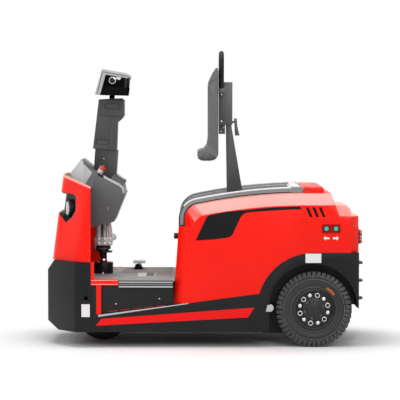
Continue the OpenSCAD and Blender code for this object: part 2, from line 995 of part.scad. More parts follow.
module wheel_houses() {
    color("#232325") both_sides() difference() {
        union() {
            plate(-inner_w, inner_w - house_y) difference() {
                arch_outline(arch_r + house_t);
                arch_outline(arch_r);
            }
            plate(-house_y - house_t, house_t) arch_outline(arch_r + house_t);
        }
        box(
            [rear_axle_x - overall_width, -half_w, -overall_width],
            [rear_axle_x + overall_width, 0, house_bottom]
        );
        box(
            [tail_x - frame_t, -half_w, 0],
            [tail_x + overrun, 0, flare_top + overrun]
        );
        shaft_y(rear_axle_x, 0, rear_axle_z, house_hole_d, overall_width + overrun);
    }
}

// Battery, rear axle and drive
battery_gap = 24;
battery_side = 80;
battery_run = 86;
battery_drop = 28;
battery_w = overall_width - 2 * battery_side;
battery_l = spar_x - foot_x - battery_run - battery_gap;
battery_h = rail_end_z - battery_drop - tray_z - tray_t;
spindle_d = 50;
wheel_y = half_w - wheel_inset - rear_tyre_w / 2;
hub_back = 62;
axle_clear = 3;
axle_end_y = wheel_y - hub_back - axle_clear;
spindle_lap = 16;
spindle_end_y = wheel_y + spindle_lap;
gearbox_d = 230;
gearbox_l = 120;
motor_d = 190;
motor_l = 170;

module battery() {
    color("#5b5d60") translate([foot_x + battery_run, -battery_w / 2, tray_z + tray_t])
        cube([battery_l, battery_w, battery_h]);
}

module rear_axle() {
    color("#6e7072") {
        shaft_y(rear_axle_x, 0, rear_axle_z, axle_tube_d, 2 * axle_end_y);
        shaft_y(rear_axle_x, 0, rear_axle_z, spindle_d, 2 * spindle_end_y);
        shaft_y(rear_axle_x, 0, rear_axle_z, gearbox_d, gearbox_l);
        translate([rear_axle_x, 0, rear_axle_z]) cylinder(d = motor_d, h = motor_l + gearbox_d / 2);
    }
}

// Rear plate with the three-level tow coupling
plate_bottom = rear_leg_z + plate_rise;
mouth_w = 190;
mouth_depth = 60;
jaw_t = 12;
jaw_z = 334;
jaw_pitch = 100;
jaw_tip_w = 60;
pin_d = 24;
pin_setback = 30;
pin_top_rise = 70;
pin_x = tail_x + coupling_reach - pin_setback;
jaw_back = tail_x - mouth_depth;

module jaw_plan() {
    polygon([
        [jaw_back, -mouth_w / 2], [tail_x, -mouth_w / 2],
        [tail_x + coupling_reach, -jaw_tip_w / 2], [tail_x + coupling_reach, jaw_tip_w / 2],
        [tail_x, mouth_w / 2], [jaw_back, mouth_w / 2]
    ]);
}

module tow_coupling() {
    z_low = jaw_z - jaw_pitch - jaw_t / 2;
    z_high = jaw_z + jaw_pitch + jaw_t / 2;
    color("#2b2b2d") difference() {
        union() {
            difference() {
                box([tail_x - frame_t, -inner_w, plate_bottom], [tail_x, inner_w, flare_top]);
                box(
                    [tail_x - overrun, -mouth_w / 2, z_low],
                    [tail_x + overrun, mouth_w / 2, z_high]
                );
            }
            both_sides() box([jaw_back, mouth_w / 2, z_low], [tail_x, mouth_w / 2 + jaw_t, z_high]);
            box([jaw_back - jaw_t, -mouth_w / 2 - jaw_t, z_low], [jaw_back, mouth_w / 2 + jaw_t, z_high]);
            for (i = [-1 : 1])
                translate([0, 0, jaw_z + i * jaw_pitch - jaw_t / 2]) linear_extrude(jaw_t) jaw_plan();
        }
        translate([pin_x, 0, z_low - overrun])
            cylinder(d = pin_d + 2 * seat_gap, h = z_high - z_low + 2 * overrun);
    }
}

pin_head_d = 40;
pin_head_h = 14;
pin_grip_d = 12;
pin_foot = 12;

module coupling_pin() {
    z_low = jaw_z - jaw_pitch - jaw_t / 2 - pin_foot;
    z_high = jaw_z + jaw_pitch + jaw_t / 2;
    color("#b9bcbe") translate([pin_x, 0, 0]) {
        translate([0, 0, z_low]) cylinder(d = pin_d, h = z_high - z_low);
        translate([0, 0, z_high]) cylinder(d = pin_head_d, h = pin_head_h);
        translate([0, 0, z_high + pin_head_h]) cylinder(d = pin_grip_d, h = pin_top_rise - pin_head_h);
        translate([0, 0, z_high + pin_top_rise]) sphere(d = pin_head_d / 2 + pin_grip_d / 2);
    }
}

// Tail lamps and the jog buttons beside the rear deck
lamp_d = 36;
lamp_l = 20;
lamp_inset = 74;
lamp_y = half_w - lamp_inset;
lamp_rise = 64.5;
lamp_low_z = flare_top + lamp_rise;
lamp_pitch = 38;
jog_d = 30;
jog_h = 7;
jog_plate = [100, 48];
jog_plate_t = 3;
jog_rise = 131.5;
jog_z = flare_top + jog_rise;
jog_run = 153;
jog_x = tail_x - jog_run;
jog_pitch = 52;

module tail_lamps() {
    color("#b3202a") both_sides() for (i = [0, 1])
        shaft_x(tail_x, lamp_y, lamp_low_z + i * lamp_pitch, lamp_d, lamp_l);
}

module jog_buttons() {
    color("#2f9a3c") both_sides() {
        plate(-half_w - jog_plate_t, jog_plate_t)
            translate([jog_x, jog_z] - jog_plate / 2) square(jog_plate);
        for (side = [-1, 1])
            plate(-half_w - jog_plate_t - jog_h, jog_h + jog_plate_t)
                translate([jog_x + side * jog_pitch / 2, jog_z]) circle(d = jog_d);
    }
}

// Backrest mast on the bonnet
mast_run = 296;
mast_x = foot_x + mast_run;
mast_foot_l = 91;
mast_w = 90;
bar_lead = 5;
bar_x = mast_x - bar_lead;
bar_l = 30;
slide_hold = 149;
bar_foot_z = body_top + mast_h;
bar_top_z = bar_foot_z + slide_hold + backrest_travel;
mast_sink = 8;
mast_base_z = top_z(mast_x) + rail_h - lid_sink - mast_sink;

module backrest_mast() {
    color("#2b2b2d") difference() {
        across(mast_w) polygon([
            [mast_x, mast_base_z], [mast_x + mast_foot_l, mast_base_z], [bar_x + bar_l, bar_foot_z],
            [bar_x + bar_l, bar_top_z], [bar_x, bar_top_z], [bar_x, bar_foot_z]
        ]);
        across(2 * mast_w) polygon(bonnet_band(rail_h - lid_sink, -lid_t, lid_rear_x));
    }
}

// Sliding carriage with the back pad and the grab hoop
bracket_w = 126;
bracket_l = 76;
bracket_lead = 40;
bracket_x = bar_x - bracket_lead;
bracket_cap = 12;
bracket_h = bar_top_z - bar_foot_z + bracket_cap;
bracket_z = bar_foot_z + seat_gap;
stop_gap = 3;
slide_gap = 0.3;
wing_rise = 179;
wing_z = bar_foot_z + wing_rise;
wing_h = 26;
wing_l = 28;
hoop_w = 240;
hoop_d = 28;
hoop_r = 60;
lever_gap = 10;
lever_l = 32;
lever_h = 98;
lever_w = 30;
lever_drop = 59;
lever_arm_d = 12;
lever_arm_rise = 17;
lever_arm_sink = 3;
lever_shares = [
    [0, 1], [0.05, 0.745], [0.156, 0], [1, 0], [0.925, 0.06], [0.594, 0.53], [0.5, 0.98]
];
pad_foot_l = 35;
pad_foot_w = 60;
pad_foot_h = 50;
hoop_x = bracket_x + wing_l / 2;

module slide_bar(gap) {
    box(
        [bar_x - gap, -mast_w / 2 - gap, bracket_z - overrun],
        [bar_x + bar_l + gap, mast_w / 2 + gap, bar_top_z + (gap > 0 ? stop_gap : 0)]
    );
}

module backrest_bracket() {
    color("#2f3032") difference() {
        union() {
            box(
                [bracket_x, -bracket_w / 2, bracket_z],
                [bracket_x + bracket_l, bracket_w / 2, bracket_z + bracket_h]
            );
            box(
                [bracket_x, -hoop_w / 2 - hoop_d / 2, wing_z],
                [bracket_x + wing_l, hoop_w / 2 + hoop_d / 2, wing_z + wing_h]
            );
            box(
                [bracket_x, -pad_foot_w / 2, bracket_z - pad_foot_h],
                [bracket_x + pad_foot_l, pad_foot_w / 2, bracket_z]
            );
            shaft_x(
                bracket_x + bracket_l - lever_arm_sink, 0, bracket_z + lever_arm_rise,
                lever_arm_d, lever_arm_sink + lever_gap + lever_l / 2
            );
            translate([bracket_x + bracket_l + lever_gap, 0, bracket_z - lever_drop])
                across(lever_w) polygon(scaled(lever_shares, [lever_l, lever_h]));
        }
        slide_bar(slide_gap);
    }
}

pad_depth = 129;
pad_drop = 193;
pad_bottom = bar_foot_z - pad_drop;
pad_x = bracket_x - pad_depth;
pad_shares = [
    [0.04, 0], [0.7, 0], [0.93, 0.02], [1, 0.06], [1, 0.95], [0.97, 0.985], [0.91, 1], [0.8, 0.985],
    [0.66, 0.93], [0.58, 0.86], [0.55, 0.78], [0.55, 0.24], [0.5, 0.16], [0.36, 0.115], [0.06, 0.095],
    [0, 0.07], [0, 0.03]
];

module back_pad() {
    color("#1f1f21") translate([pad_x, 0, pad_bottom]) across(pad_w)
        polygon(scaled(pad_shares, [pad_depth, pad_h]));
}

module grab_hoop() {
    reach = hoop_w / 2 - hoop_r;
    bend_z = wing_z + wing_h + hoop_rise - hoop_d / 2 - hoop_r;
    color("#2b2b2d") translate([hoop_x, 0, 0]) {
        both_sides() {
            translate([0, hoop_w / 2, wing_z + wing_h])
                cylinder(d = hoop_d, h = bend_z - wing_z - wing_h);
            translate([0, reach, bend_z]) rotate([0, -90, 0])
                rotate_extrude(angle = 90) translate([hoop_r, 0]) circle(d = hoop_d);
        }
        translate([0, 0, bend_z + hoop_r]) rotate([90, 0, 0])
            cylinder(d = hoop_d, h = 2 * reach, center = true);
    }
}

// Steering head, turning on the column
head_gap = 10;
head_low = column_l + head_gap;
head_h = 144;
head_l = 178;
head_front = -86;
hub_w = 176;
guard_t = 10;
head_shares = [[0, 0], [0.966, 0.05], [1, 0.89], [0.169, 1]];
guard_shares = [
    [0, 0], [0.16, 0], [0.2935, 0.79], [1, 0.7], [1, 0.84], [0.95, 0.897], [0.169, 1]
];
tray_shares = [[0, 0], [0.966, 0.05], [0.98, 0.36]];
hub_shares = [[0.017, 0.1], [0.25, 0], [0.86, 0.05], [0.93, 0.14], [0.93, 0.76], [0.145, 0.86]];
grip_d = 32;
grip_u = 4;
grip_w_share = 0.58;
guard_y = head_w / 2;

function head_point(share) = [head_front + share[0] * head_l, head_low + share[1] * head_h];

module head_hub() {
    lead = [guard_t, 0];
    color("#242426") on_column() {
        across(hub_w) polygon([
            head_point(head_shares[3] * hub_shares[0][1]) + lead, head_point(hub_shares[1]),
            head_point(hub_shares[2]), head_point(hub_shares[3]), head_point(hub_shares[4]),
            head_point(head_shares[3] * hub_shares[5][1]) + lead
        ]);
        across(2 * (guard_y - guard_t)) polygon([
            head_point(tray_shares[0]) + lead, head_point(tray_shares[1]),
            head_point(tray_shares[2]), head_point(head_shares[3] * tray_shares[2][1]) + lead
        ]);
        translate([0, 0, column_l - neck_sink + seat_gap])
            cylinder(d = neck_d, h = neck_sink + head_gap + head_h / 2);
    }
}

module hand_guards() {
    lead = [guard_t, 0];
    color("#b4b6b8") on_column() {
        across(2 * guard_y) polygon([
            head_point(head_shares[0]), head_point(head_shares[0]) + lead,
            head_point(head_shares[3]) + lead, head_point(head_shares[3])
        ]);
        both_sides() plate(guard_y - guard_t, guard_t)
            polygon([for (p = guard_shares) head_point(p)]);
    }
}

module hand_grips() {
    color("#2a2a2c") on_column() both_sides()
        shaft_y(
            grip_u, (hub_w / 2 + guard_y - guard_t - head_gap) / 2, head_low + head_h * grip_w_share,
            grip_d, guard_y - guard_t - head_gap - hub_w / 2
        );
}

// Steered fork with the front wheel
cheek_gap = 8;
cheek_y = front_tyre_w / 2 + cheek_gap;
cheek_t = 12;
cheek_l = 70;
crown_gap = 18;
crown_t = 18;
crown_z = front_tyre_d + crown_gap;
front_pin_d = 20;

module steer_fork() {
    color("#3a3b3d") difference() {
        translate([front_axle_x, 0, 0]) {
            both_sides() plate(cheek_y, cheek_t) {
                translate([0, front_axle_z]) circle(d = cheek_l);
                translate([-cheek_l / 2, front_axle_z])
                    square([cheek_l, crown_z + crown_t - front_axle_z]);
            }
            translate([0, 0, crown_z]) linear_extrude(crown_t)
                square([cheek_l, 2 * (cheek_y + cheek_t)], center = true);
            translate([0, 0, crown_z]) cylinder(d = stem_d, h = stem_top - crown_z);
            shaft_y(0, 0, front_axle_z, front_pin_d, 2 * (cheek_y + cheek_t));
        }
    }
}

rim_t = 10;
front_hub_d = 56;

module front_rim() {
    color("#8d9093") translate([front_axle_x, 0, front_axle_z]) rotate([90, 0, 0]) difference() {
        rotate_extrude($fn = 96) {
            translate([front_rim_d / 2 - rim_t, -front_tyre_w / 2]) square([rim_t, front_tyre_w]);
            translate([front_hub_d / 2 - rim_t, -rim_t])
                square([front_rim_d / 2 - front_hub_d / 2 + rim_t / 2, 2 * rim_t]);
            translate([front_pin_d / 2 + pin_gap, -front_tyre_w / 2])
                square([front_hub_d / 2 - front_pin_d / 2 - pin_gap, front_tyre_w]);
        }
    }
}

// A tyre's half section from radius r to outer radius, w wide, with rounded shoulders
shoulder_r = 22;
tyre_gap = seat_gap;

module tyre_section(inner, outer, w) {
    translate([inner, -w / 2]) square([outer - inner - shoulder_r, w]);
    translate([inner, shoulder_r - w / 2]) square([outer - inner, w - 2 * shoulder_r]);
    for (side = [-1, 1])
        translate([outer - shoulder_r, side * (w / 2 - shoulder_r)]) circle(shoulder_r);
}

module front_tyre() {
    color("#1c1c1d") translate([front_axle_x, 0, front_axle_z]) rotate([90, 0, 0])
        rotate_extrude($fn = 96)
            tyre_section(front_rim_d / 2 + tyre_gap, front_axle_z, front_tyre_w);
}

// Rear wheels
barrel_t = 9;
disc_t = 12;
disc_out = 18;
hub_d = 126;
cap_d = 76;
hub_face = 40;
cap_h = 12;
bead_h = 8;

nut_d = 25;
nut_h = 13;
bolt_d = 19;
bolt_h = 9;
nut_turn = 16.4;

module rear_rim(side) {
    barrel_r = rear_rim_d / 2 - bead_h;
    color("#1d1e1f") translate([rear_axle_x, side * wheel_y, rear_axle_z]) rotate([side * -90, 0, 0])
        difference() {
            union() {
                for (i = [0 : 5]) {
                    rotate([0, 0, 60 * i + nut_turn]) translate([wheel_pcd / 2, 0, disc_out])
                        cylinder(d = nut_d, h = disc_t + nut_h);
                    rotate([0, 0, 60 * i + 30 + nut_turn]) translate([wheel_pcd / 2, 0, disc_out])
                        cylinder(d = bolt_d, h = disc_t + bolt_h);
                }
                rotate_extrude($fn = 96) {
                    translate([barrel_r - barrel_t, -rear_tyre_w / 2 + bead_h])
                        square([barrel_t, rear_tyre_w - 2 * bead_h]);
                    for (a = [-rear_tyre_w / 2, rear_tyre_w / 2 - bead_h])
                        translate([barrel_r - barrel_t, a]) square([barrel_t + bead_h, bead_h]);
                    translate([0, disc_out]) square([barrel_r, disc_t]);
                    translate([0, -hub_back]) square([hub_d / 2, hub_back + hub_face]);
                    square([cap_d / 2, hub_face + cap_h]);
                }
            }
            translate([0, 0, -hub_back - overrun])
                cylinder(d = spindle_d + 2 * pin_gap, h = hub_back + overrun + spindle_lap + seat_gap);
        }
}

module left_rim() {
    rear_rim(-1);
}

module right_rim() {
    rear_rim(1);
}

module rear_tyre(side) {
    barrel_r = rear_rim_d / 2 - bead_h;
    color("#1c1c1d") translate([rear_axle_x, side * wheel_y, rear_axle_z]) rotate([side * -90, 0, 0])
        rotate_extrude($fn = 96) difference() {
            tyre_section(barrel_r + tyre_gap, rear_axle_z, rear_tyre_w);
            for (a = [-rear_tyre_w / 2 - overrun, rear_tyre_w / 2 - bead_h - tyre_gap])
                translate([0, a]) square([rear_rim_d / 2 + tyre_gap, bead_h + tyre_gap + overrun]);
        }
}

module left_tyre() {
    rear_tyre(-1);
}

module right_tyre() {
    rear_tyre(1);
}

front_bumper();
left_skirt();
right_skirt();
cross_members();
floor_mat();
step_panels();
step_frames();
front_cowl();
lamp_fascia();
headlamps();
console();
stop_button();
steering_column();
steering_gear();
steer_seat();
pedals();
left_side_panel();
right_side_panel();
bulkhead();
rear_cowl();
hinge_pin();
wheel_houses();
battery();
rear_axle();
tow_coupling();
coupling_pin();
tail_lamps();
jog_buttons();
bonnet_lid();
backrest_mast();
backrest_bracket();
back_pad();
grab_hoop();
head_hub();
hand_guards();
hand_grips();
steer_fork();
front_rim();
front_tyre();
left_rim();
left_tyre();
right_rim();
right_tyre();
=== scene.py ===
import json
import math

import bpy
from mathutils import Matrix, Vector
from mathutils.geometry import intersect_point_line


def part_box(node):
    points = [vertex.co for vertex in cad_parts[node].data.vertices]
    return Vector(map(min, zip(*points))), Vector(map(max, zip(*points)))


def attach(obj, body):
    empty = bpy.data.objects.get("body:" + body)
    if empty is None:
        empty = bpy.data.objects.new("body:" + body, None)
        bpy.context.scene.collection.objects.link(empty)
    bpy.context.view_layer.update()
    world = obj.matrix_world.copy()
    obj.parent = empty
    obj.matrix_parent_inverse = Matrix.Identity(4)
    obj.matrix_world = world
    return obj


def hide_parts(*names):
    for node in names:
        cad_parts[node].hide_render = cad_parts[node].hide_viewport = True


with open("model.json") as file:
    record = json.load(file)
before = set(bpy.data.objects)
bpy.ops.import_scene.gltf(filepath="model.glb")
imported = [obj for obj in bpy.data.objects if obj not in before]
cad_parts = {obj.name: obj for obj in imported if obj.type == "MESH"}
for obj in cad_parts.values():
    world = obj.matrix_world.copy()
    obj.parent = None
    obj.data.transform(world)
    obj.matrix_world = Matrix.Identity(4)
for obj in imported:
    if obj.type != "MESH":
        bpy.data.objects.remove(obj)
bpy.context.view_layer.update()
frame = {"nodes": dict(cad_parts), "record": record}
nodes = frame["nodes"]

# Stations of the truck, in metres: X to the rear, Y to the right, Z up
SIDE_Y = 0.4
REAR_AXLE = Vector((0.586, 0.0, 0.2075))
FRONT_AXLE = Vector((-0.584, 0.0, 0.15))
WHEEL_Y = 0.329
PAINT_T = 0.0006
Y_AXIS = (0.0, 1.0, 0.0)
LEFT = Vector((0.0, -1.0, 0.0))
UPRIGHT = Matrix.Rotation(math.radians(90.0), 4, "X")


# Shared surface effects

def effect(name, inputs, outputs):
    """An empty shader group with its sockets and its two ends."""
    tree = bpy.data.node_groups.new(name, "ShaderNodeTree")
    for label, start in inputs:
        socket = tree.interface.new_socket(label, in_out="INPUT", socket_type="NodeSocketFloat")
        socket.default_value = start
    for label, kind in outputs:
        tree.interface.new_socket(label, in_out="OUTPUT", socket_type="NodeSocket" + kind)
    return tree, tree.nodes.new("NodeGroupInput"), tree.nodes.new("NodeGroupOutput")


def add(tree, kind, links=None, **settings):
    """One node with its settings; links maps an input's name or number to a socket or a value."""
    made = tree.nodes.new("ShaderNode" + kind)
    for key, value in settings.items():
        setattr(made, key, value)
    for key, value in (links or {}).items():
        if isinstance(value, bpy.types.NodeSocket):
            tree.links.new(value, made.inputs[key])
        else:
            made.inputs[key].default_value = value
    return made


def math_node(tree, operation, a, b=0.0, clamp=False):
    return add(tree, "Math", {0: a, 1: b}, operation=operation, use_clamp=clamp).outputs[0]


def coords(tree):
    return add(tree, "TexCoord").outputs["Object"]


def noise(tree, scale, detail, roughness=0.5):
    """Cloudy noise on the object's own coordinates."""
    links = {"Vector": coords(tree), "Scale": scale, "Detail": detail, "Roughness": roughness}
    return add(tree, "TexNoise", links).outputs["Fac"]


def remap(tree, value, start, end, low=0.0, high=1.0, **settings):
    links = {0: value, 1: start, 2: end, 3: low, 4: high}
    return add(tree, "MapRange", links, **settings).outputs[0]


def grain_effect():
    """Fine pebbled skin of a coated or moulded face, with a slow drift of tone."""
    tree, start, end = effect("skin_grain", [("Scale", 900.0), ("Drift", 3.0)],
                              [("Height", "Float"), ("Tone", "Float")])
    tree.links.new(noise(tree, start.outputs["Scale"], 3.0), end.inputs["Height"])
    tree.links.new(noise(tree, start.outputs["Drift"], 4.0), end.inputs["Tone"])
    return tree


def edge_effect():
    """Rounds sharp corners for the light and finds where handling has rubbed them."""
    tree, start, end = effect("worn_edges", [("Reach", 0.002), ("Break", 60.0)],
                              [("Rub", "Float"), ("Normal", "Vector")])
    true = add(tree, "NewGeometry").outputs["Normal"]
    soft = add(tree, "Bevel", {"Radius": start.outputs["Reach"]}, samples=6).outputs["Normal"]
    along = add(tree, "VectorMath", {0: true, 1: soft}, operation="DOT_PRODUCT").outputs["Value"]
    bent = math_node(tree, "MULTIPLY", math_node(tree, "SUBTRACT", 1.0, along), 4.0)
    patches = remap(tree, noise(tree, start.outputs["Break"], 5.0), 0.42, 0.68)
    tree.links.new(math_node(tree, "MULTIPLY", bent, patches, clamp=True), end.inputs["Rub"])
    tree.links.new(soft, end.inputs["Normal"])
    return tree


def dust_effect():
    """Pale dust that lies on upward faces and gathers low on the truck."""
    tree, start, end = effect("settled_dust", [("Scale", 14.0), ("Top", 0.5)], [("Film", "Float")])
    up = add(tree, "SeparateXYZ", {0: add(tree, "NewGeometry").outputs["Normal"]}).outputs["Z"]
    height = add(tree, "SeparateXYZ", {0: coords(tree)}).outputs["Z"]
    flat = math_node(tree, "MULTIPLY", remap(tree, up, 0.3, 1.0), start.outputs["Top"])
    lying = math_node(tree, "ADD", flat, remap(tree, height, 0.3, 0.0, 0.0, 0.6))
    specks = remap(tree, noise(tree, start.outputs["Scale"], 8.0, 0.7), 0.35, 0.75, 0.2)
    tree.links.new(math_node(tree, "MULTIPLY", lying, specks, clamp=True), end.inputs["Film"])
    return tree


GRAIN, EDGES, DUST = grain_effect(), edge_effect(), dust_effect()


# Finishes

TONE_SPAN = (0.3, 0.7)
DUST_TONE = (0.42, 0.4, 0.37)
COAT_ROUGH = 0.08
FINISHES = {}


def blend_colour(tree, share, first, second):
    made = add(tree, "Mix", data_type="RGBA", blend_type="MIX")
    tree.links.new(share, made.inputs[0])
    for socket, value in ((made.inputs[6], first), (made.inputs[7], second)):
        if isinstance(value, bpy.types.NodeSocket):
            tree.links.new(value, socket)
        else:
            socket.default_value = (*value, 1.0)
    return made.outputs[2]


def finish(name, base, other, rough, grain, depth, *, drift=3.0, metal=0.0, coat=0.0, rub=None,
           rub_share=0.5, reach=0.002, dust=0.0, sheen=0.0, specular=0.5):
    """A coated, moulded or bare surface: two tones, grain, rounded and rubbed edges, and dust."""
    made = bpy.data.materials.new(name + "_finish")
    made.use_nodes = True
    tree = made.node_tree
    shader = tree.nodes["Principled BSDF"]
    skin = add(tree, "Group", {"Scale": grain, "Drift": drift}, node_tree=GRAIN)
    edge = add(tree, "Group", {"Reach": reach}, node_tree=EDGES)
    shade = blend_colour(tree, remap(tree, skin.outputs["Tone"], *TONE_SPAN), base, other)
    if dust:
        film = add(tree, "Group", node_tree=DUST).outputs["Film"]
        shade = blend_colour(tree, math_node(tree, "MULTIPLY", film, dust), shade, DUST_TONE)
    if rub:
        worn = math_node(tree, "MULTIPLY", edge.outputs["Rub"], rub_share)
        shade = blend_colour(tree, worn, shade, rub)
    gloss = remap(tree, skin.outputs["Tone"], *TONE_SPAN, rough * 0.88, rough * 1.12)
    bump = add(tree, "Bump", {"Strength": 0.6, "Distance": depth, "Height": skin.outputs["Height"],
                              "Normal": edge.outputs["Normal"]})
    for socket, source in (("Base Color", shade), ("Roughness", gloss), ("Normal", bump.outputs["Normal"])):
        tree.links.new(source, shader.inputs[socket])
    for socket, value in (("Metallic", metal), ("Coat Weight", coat), ("Coat Roughness", COAT_ROUGH),
                          ("Sheen Weight", sheen), ("Specular IOR Level", specular)):
        shader.inputs[socket].default_value = value
    FINISHES[name] = made


finish("red_paint", (0.98, 0.01, 0.0015), (0.92, 0.008, 0.0012), 0.3, 260, 0.00004, specular=0.16, coat=0.06,
       rub=(0.95, 0.3, 0.24), rub_share=0.25, reach=0.003)
finish("black_paint", (0.01, 0.01, 0.0105), (0.008, 0.008, 0.0085), 0.4, 1100, 0.0001, specular=0.18,
       rub=(0.12, 0.12, 0.125), reach=0.003, dust=0.06)
finish("grey_plastic", (0.07, 0.071, 0.074), (0.06, 0.061, 0.064), 0.44, 1500, 0.00014, specular=0.3,
       rub=(0.16, 0.16, 0.17), rub_share=0.4, reach=0.004)
finish("black_plastic", (0.013, 0.013, 0.014), (0.01, 0.01, 0.011), 0.44, 1500, 0.00014, specular=0.25,
       rub=(0.09, 0.09, 0.09), rub_share=0.4, reach=0.003)
finish("floor_rubber", (0.34, 0.34, 0.342), (0.28, 0.28, 0.282), 0.62, 420, 0.0006, rub=(0.46, 0.46, 0.46),
       rub_share=0.6, dust=0.35)
finish("tyre", (0.02, 0.02, 0.02), (0.034, 0.034, 0.0335), 0.4, 420, 0.0003, specular=0.28,
       rub=(0.14, 0.135, 0.13), rub_share=0.7, reach=0.003)
finish("tyre_tread", (0.06, 0.06, 0.059), (0.042, 0.042, 0.041), 0.46, 420, 0.0003, specular=0.35,
       rub=(0.26, 0.255, 0.25), rub_share=0.8, reach=0.003)
# Light grey: painted highlights on thin rings of the tyre's sidewall.
finish("tyre_highlight_line", (0.22, 0.215, 0.2), (0.16, 0.155, 0.15), 0.4, 420, 0.0002)
finish("rim_paint", (0.005, 0.005, 0.0055), (0.007, 0.007, 0.0075), 0.2, 600, 0.00004, specular=0.22,
       coat=0.1, rub=(0.2, 0.2, 0.2))
finish("bare_steel", (0.55, 0.55, 0.56), (0.46, 0.46, 0.47), 0.34, 1400, 0.00006, metal=1.0,
       rub=(0.75, 0.75, 0.76))
finish("guard_grey", (0.44, 0.45, 0.46), (0.38, 0.39, 0.4), 0.36, 1300, 0.0001, rub=(0.6, 0.6, 0.61),
       rub_share=0.4)
finish("lamp_lens", (0.5, 0.5, 0.51), (0.4, 0.4, 0.41), 0.08, 90, 0.0006, coat=1.0)
finish("tail_lens", (0.42, 0.012, 0.014), (0.36, 0.01, 0.012), 0.14, 500, 0.0001, coat=1.0)
finish("stop_red", (0.7, 0.014, 0.01), (0.62, 0.012, 0.01), 0.26, 600, 0.00005, coat=0.3)
finish("jog_green", (0.06, 0.52, 0.38), (0.05, 0.46, 0.33), 0.3, 600, 0.00005, coat=0.2)
finish("pad_vinyl", (0.115, 0.115, 0.117), (0.095, 0.095, 0.097), 0.5, 520, 0.0005, sheen=0.1)
finish("battery_case", (0.12, 0.12, 0.13), (0.1, 0.1, 0.11), 0.52, 900, 0.0002, dust=0.2)
finish("axle_iron", (0.1, 0.1, 0.105), (0.075, 0.075, 0.08), 0.5, 240, 0.0006, metal=0.3,
       rub=(0.3, 0.3, 0.3), rub_share=0.6, dust=0.2)
finish("cast_alloy", (0.72, 0.73, 0.72), (0.36, 0.37, 0.365), 0.4, 320, 0.0006, drift=30.0, metal=0.15,
       rub=(0.8, 0.8, 0.8), rub_share=0.7)
finish("zinc", (0.78, 0.79, 0.78), (0.62, 0.63, 0.62), 0.3, 700, 0.0001, metal=0.85, rub=(0.9, 0.9, 0.9))
finish("white_film", (0.82, 0.82, 0.81), (0.76, 0.76, 0.75), 0.42, 900, 0.00003)
# Black: printed film on the flanks, and painted shade along the bonnet rails' foot.
finish("black_film_and_shade", (0.006, 0.006, 0.0065), (0.004, 0.004, 0.0045), 0.32, 900, 0.00002, specular=0.16)
# Red: a printed stripe on the sill, and painted reflections of red paint on the step panel.
finish("red_film_and_reflection", (0.9, 0.004, 0.004), (0.84, 0.003, 0.003), 0.34, 900, 0.00002, specular=0.2)
finish("orange_mark", (0.42, 0.12, 0.012), (0.3, 0.07, 0.01), 0.55, 300, 0.0002)
finish("dark_glass", (0.01, 0.014, 0.018), (0.014, 0.018, 0.022), 0.06, 300, 0.00001, coat=1.0)
finish("chrome", (0.78, 0.79, 0.8), (0.7, 0.71, 0.72), 0.1, 500, 0.00002, metal=1.0)
finish("jog_plate_red", (0.62, 0.0015, 0.0015), (0.56, 0.001, 0.001), 0.34, 900, 0.00004, specular=0.06)
finish("head_black", (0.01, 0.01, 0.0105), (0.007, 0.007, 0.0075), 0.5, 1500, 0.00014, specular=0.0,
       rub=(0.06, 0.06, 0.06), rub_share=0.4)
finish("rail_grey", (0.25, 0.252, 0.256), (0.2, 0.202, 0.206), 0.34, 1200, 0.00008)
# Near white: a painted highlight along the bonnet rails' upper edge, and the cross piece at their rear end.
finish("pale_grey_and_highlight", (0.84, 0.85, 0.86), (0.76, 0.77, 0.78), 0.3, 1200, 0.00004)
finish("lid_dark", (0.022, 0.022, 0.023), (0.016, 0.016, 0.017), 0.46, 1500, 0.0002, dust=0.1)
finish("mast_grey", (0.098, 0.099, 0.101), (0.082, 0.083, 0.085), 0.42, 1100, 0.0001, rub=(0.25, 0.25, 0.26))
# Pale pink: a painted highlight on the front cowl's rim lip and on the ribs of the step frame.
finish("highlight_pink", (0.96, 0.42, 0.36), (0.92, 0.36, 0.3), 0.3, 260, 0.00004, specular=0.2)
# A less pink light red: a painted highlight on the front corner of the shoulder.
finish("corner_highlight_red", (0.94, 0.11, 0.085), (0.9, 0.08, 0.06), 0.26, 260, 0.00004, coat=0.2)
finish("hub_grey", (0.024, 0.024, 0.025), (0.018, 0.018, 0.019), 0.3, 700, 0.0001, specular=0.3,
       rub=(0.22, 0.22, 0.22), rub_share=0.7)
# Lighter pinkish red: a painted highlight on upward-sloping faces of the shoulders and the rear deck.
finish("highlight_red", (0.86, 0.26, 0.22), (0.82, 0.2, 0.17), 0.24, 260, 0.00004, coat=0.3)
# Light grey: a painted highlight on the console's front-left upper faces.
finish("hood_highlight_grey", (0.6, 0.61, 0.62), (0.48, 0.49, 0.5), 0.34, 900, 0.00008, rub=(0.7, 0.7, 0.71),
       rub_share=0.4)
# Silver: trims and brackets, and painted highlights on the sill's top edge and on the step's nosing.
finish("trim_silver", (0.55, 0.56, 0.57), (0.46, 0.47, 0.48), 0.32, 900, 0.00006, metal=0.4)
NODE_SLOTS = {row["node"]: row["material_slot"] for row in frame["record"]["subparts"]}
NODE_BODY = {node: body for body, members in frame["record"]["behaviour"]["bodies"].items() for node in members}
SPECIAL = {
    "steering_gear": "cast_alloy", "pedals": "cast_alloy", "coupling_pin": "zinc",
    "jog_buttons": "jog_plate_red", "backrest_mast": "mast_grey", "backrest_bracket": "mast_grey",
    "hinge_pin": "axle_iron", "bonnet_lid": "lid_dark", "head_hub": "head_black",
    "headlamps": "black_plastic", "console": "mast_grey",
}
for member, slot_name in NODE_SLOTS.items():
    nodes[member].data.materials.clear()
    nodes[member].data.materials.append(FINISHES[SPECIAL.get(member, slot_name)])


# Modelling, step by step as at the bench

def clear():
    """Back to object mode with nothing selected."""
    if bpy.context.mode != "OBJECT":
        bpy.ops.object.mode_set(mode="OBJECT")
    bpy.ops.object.select_all(action="DESELECT")


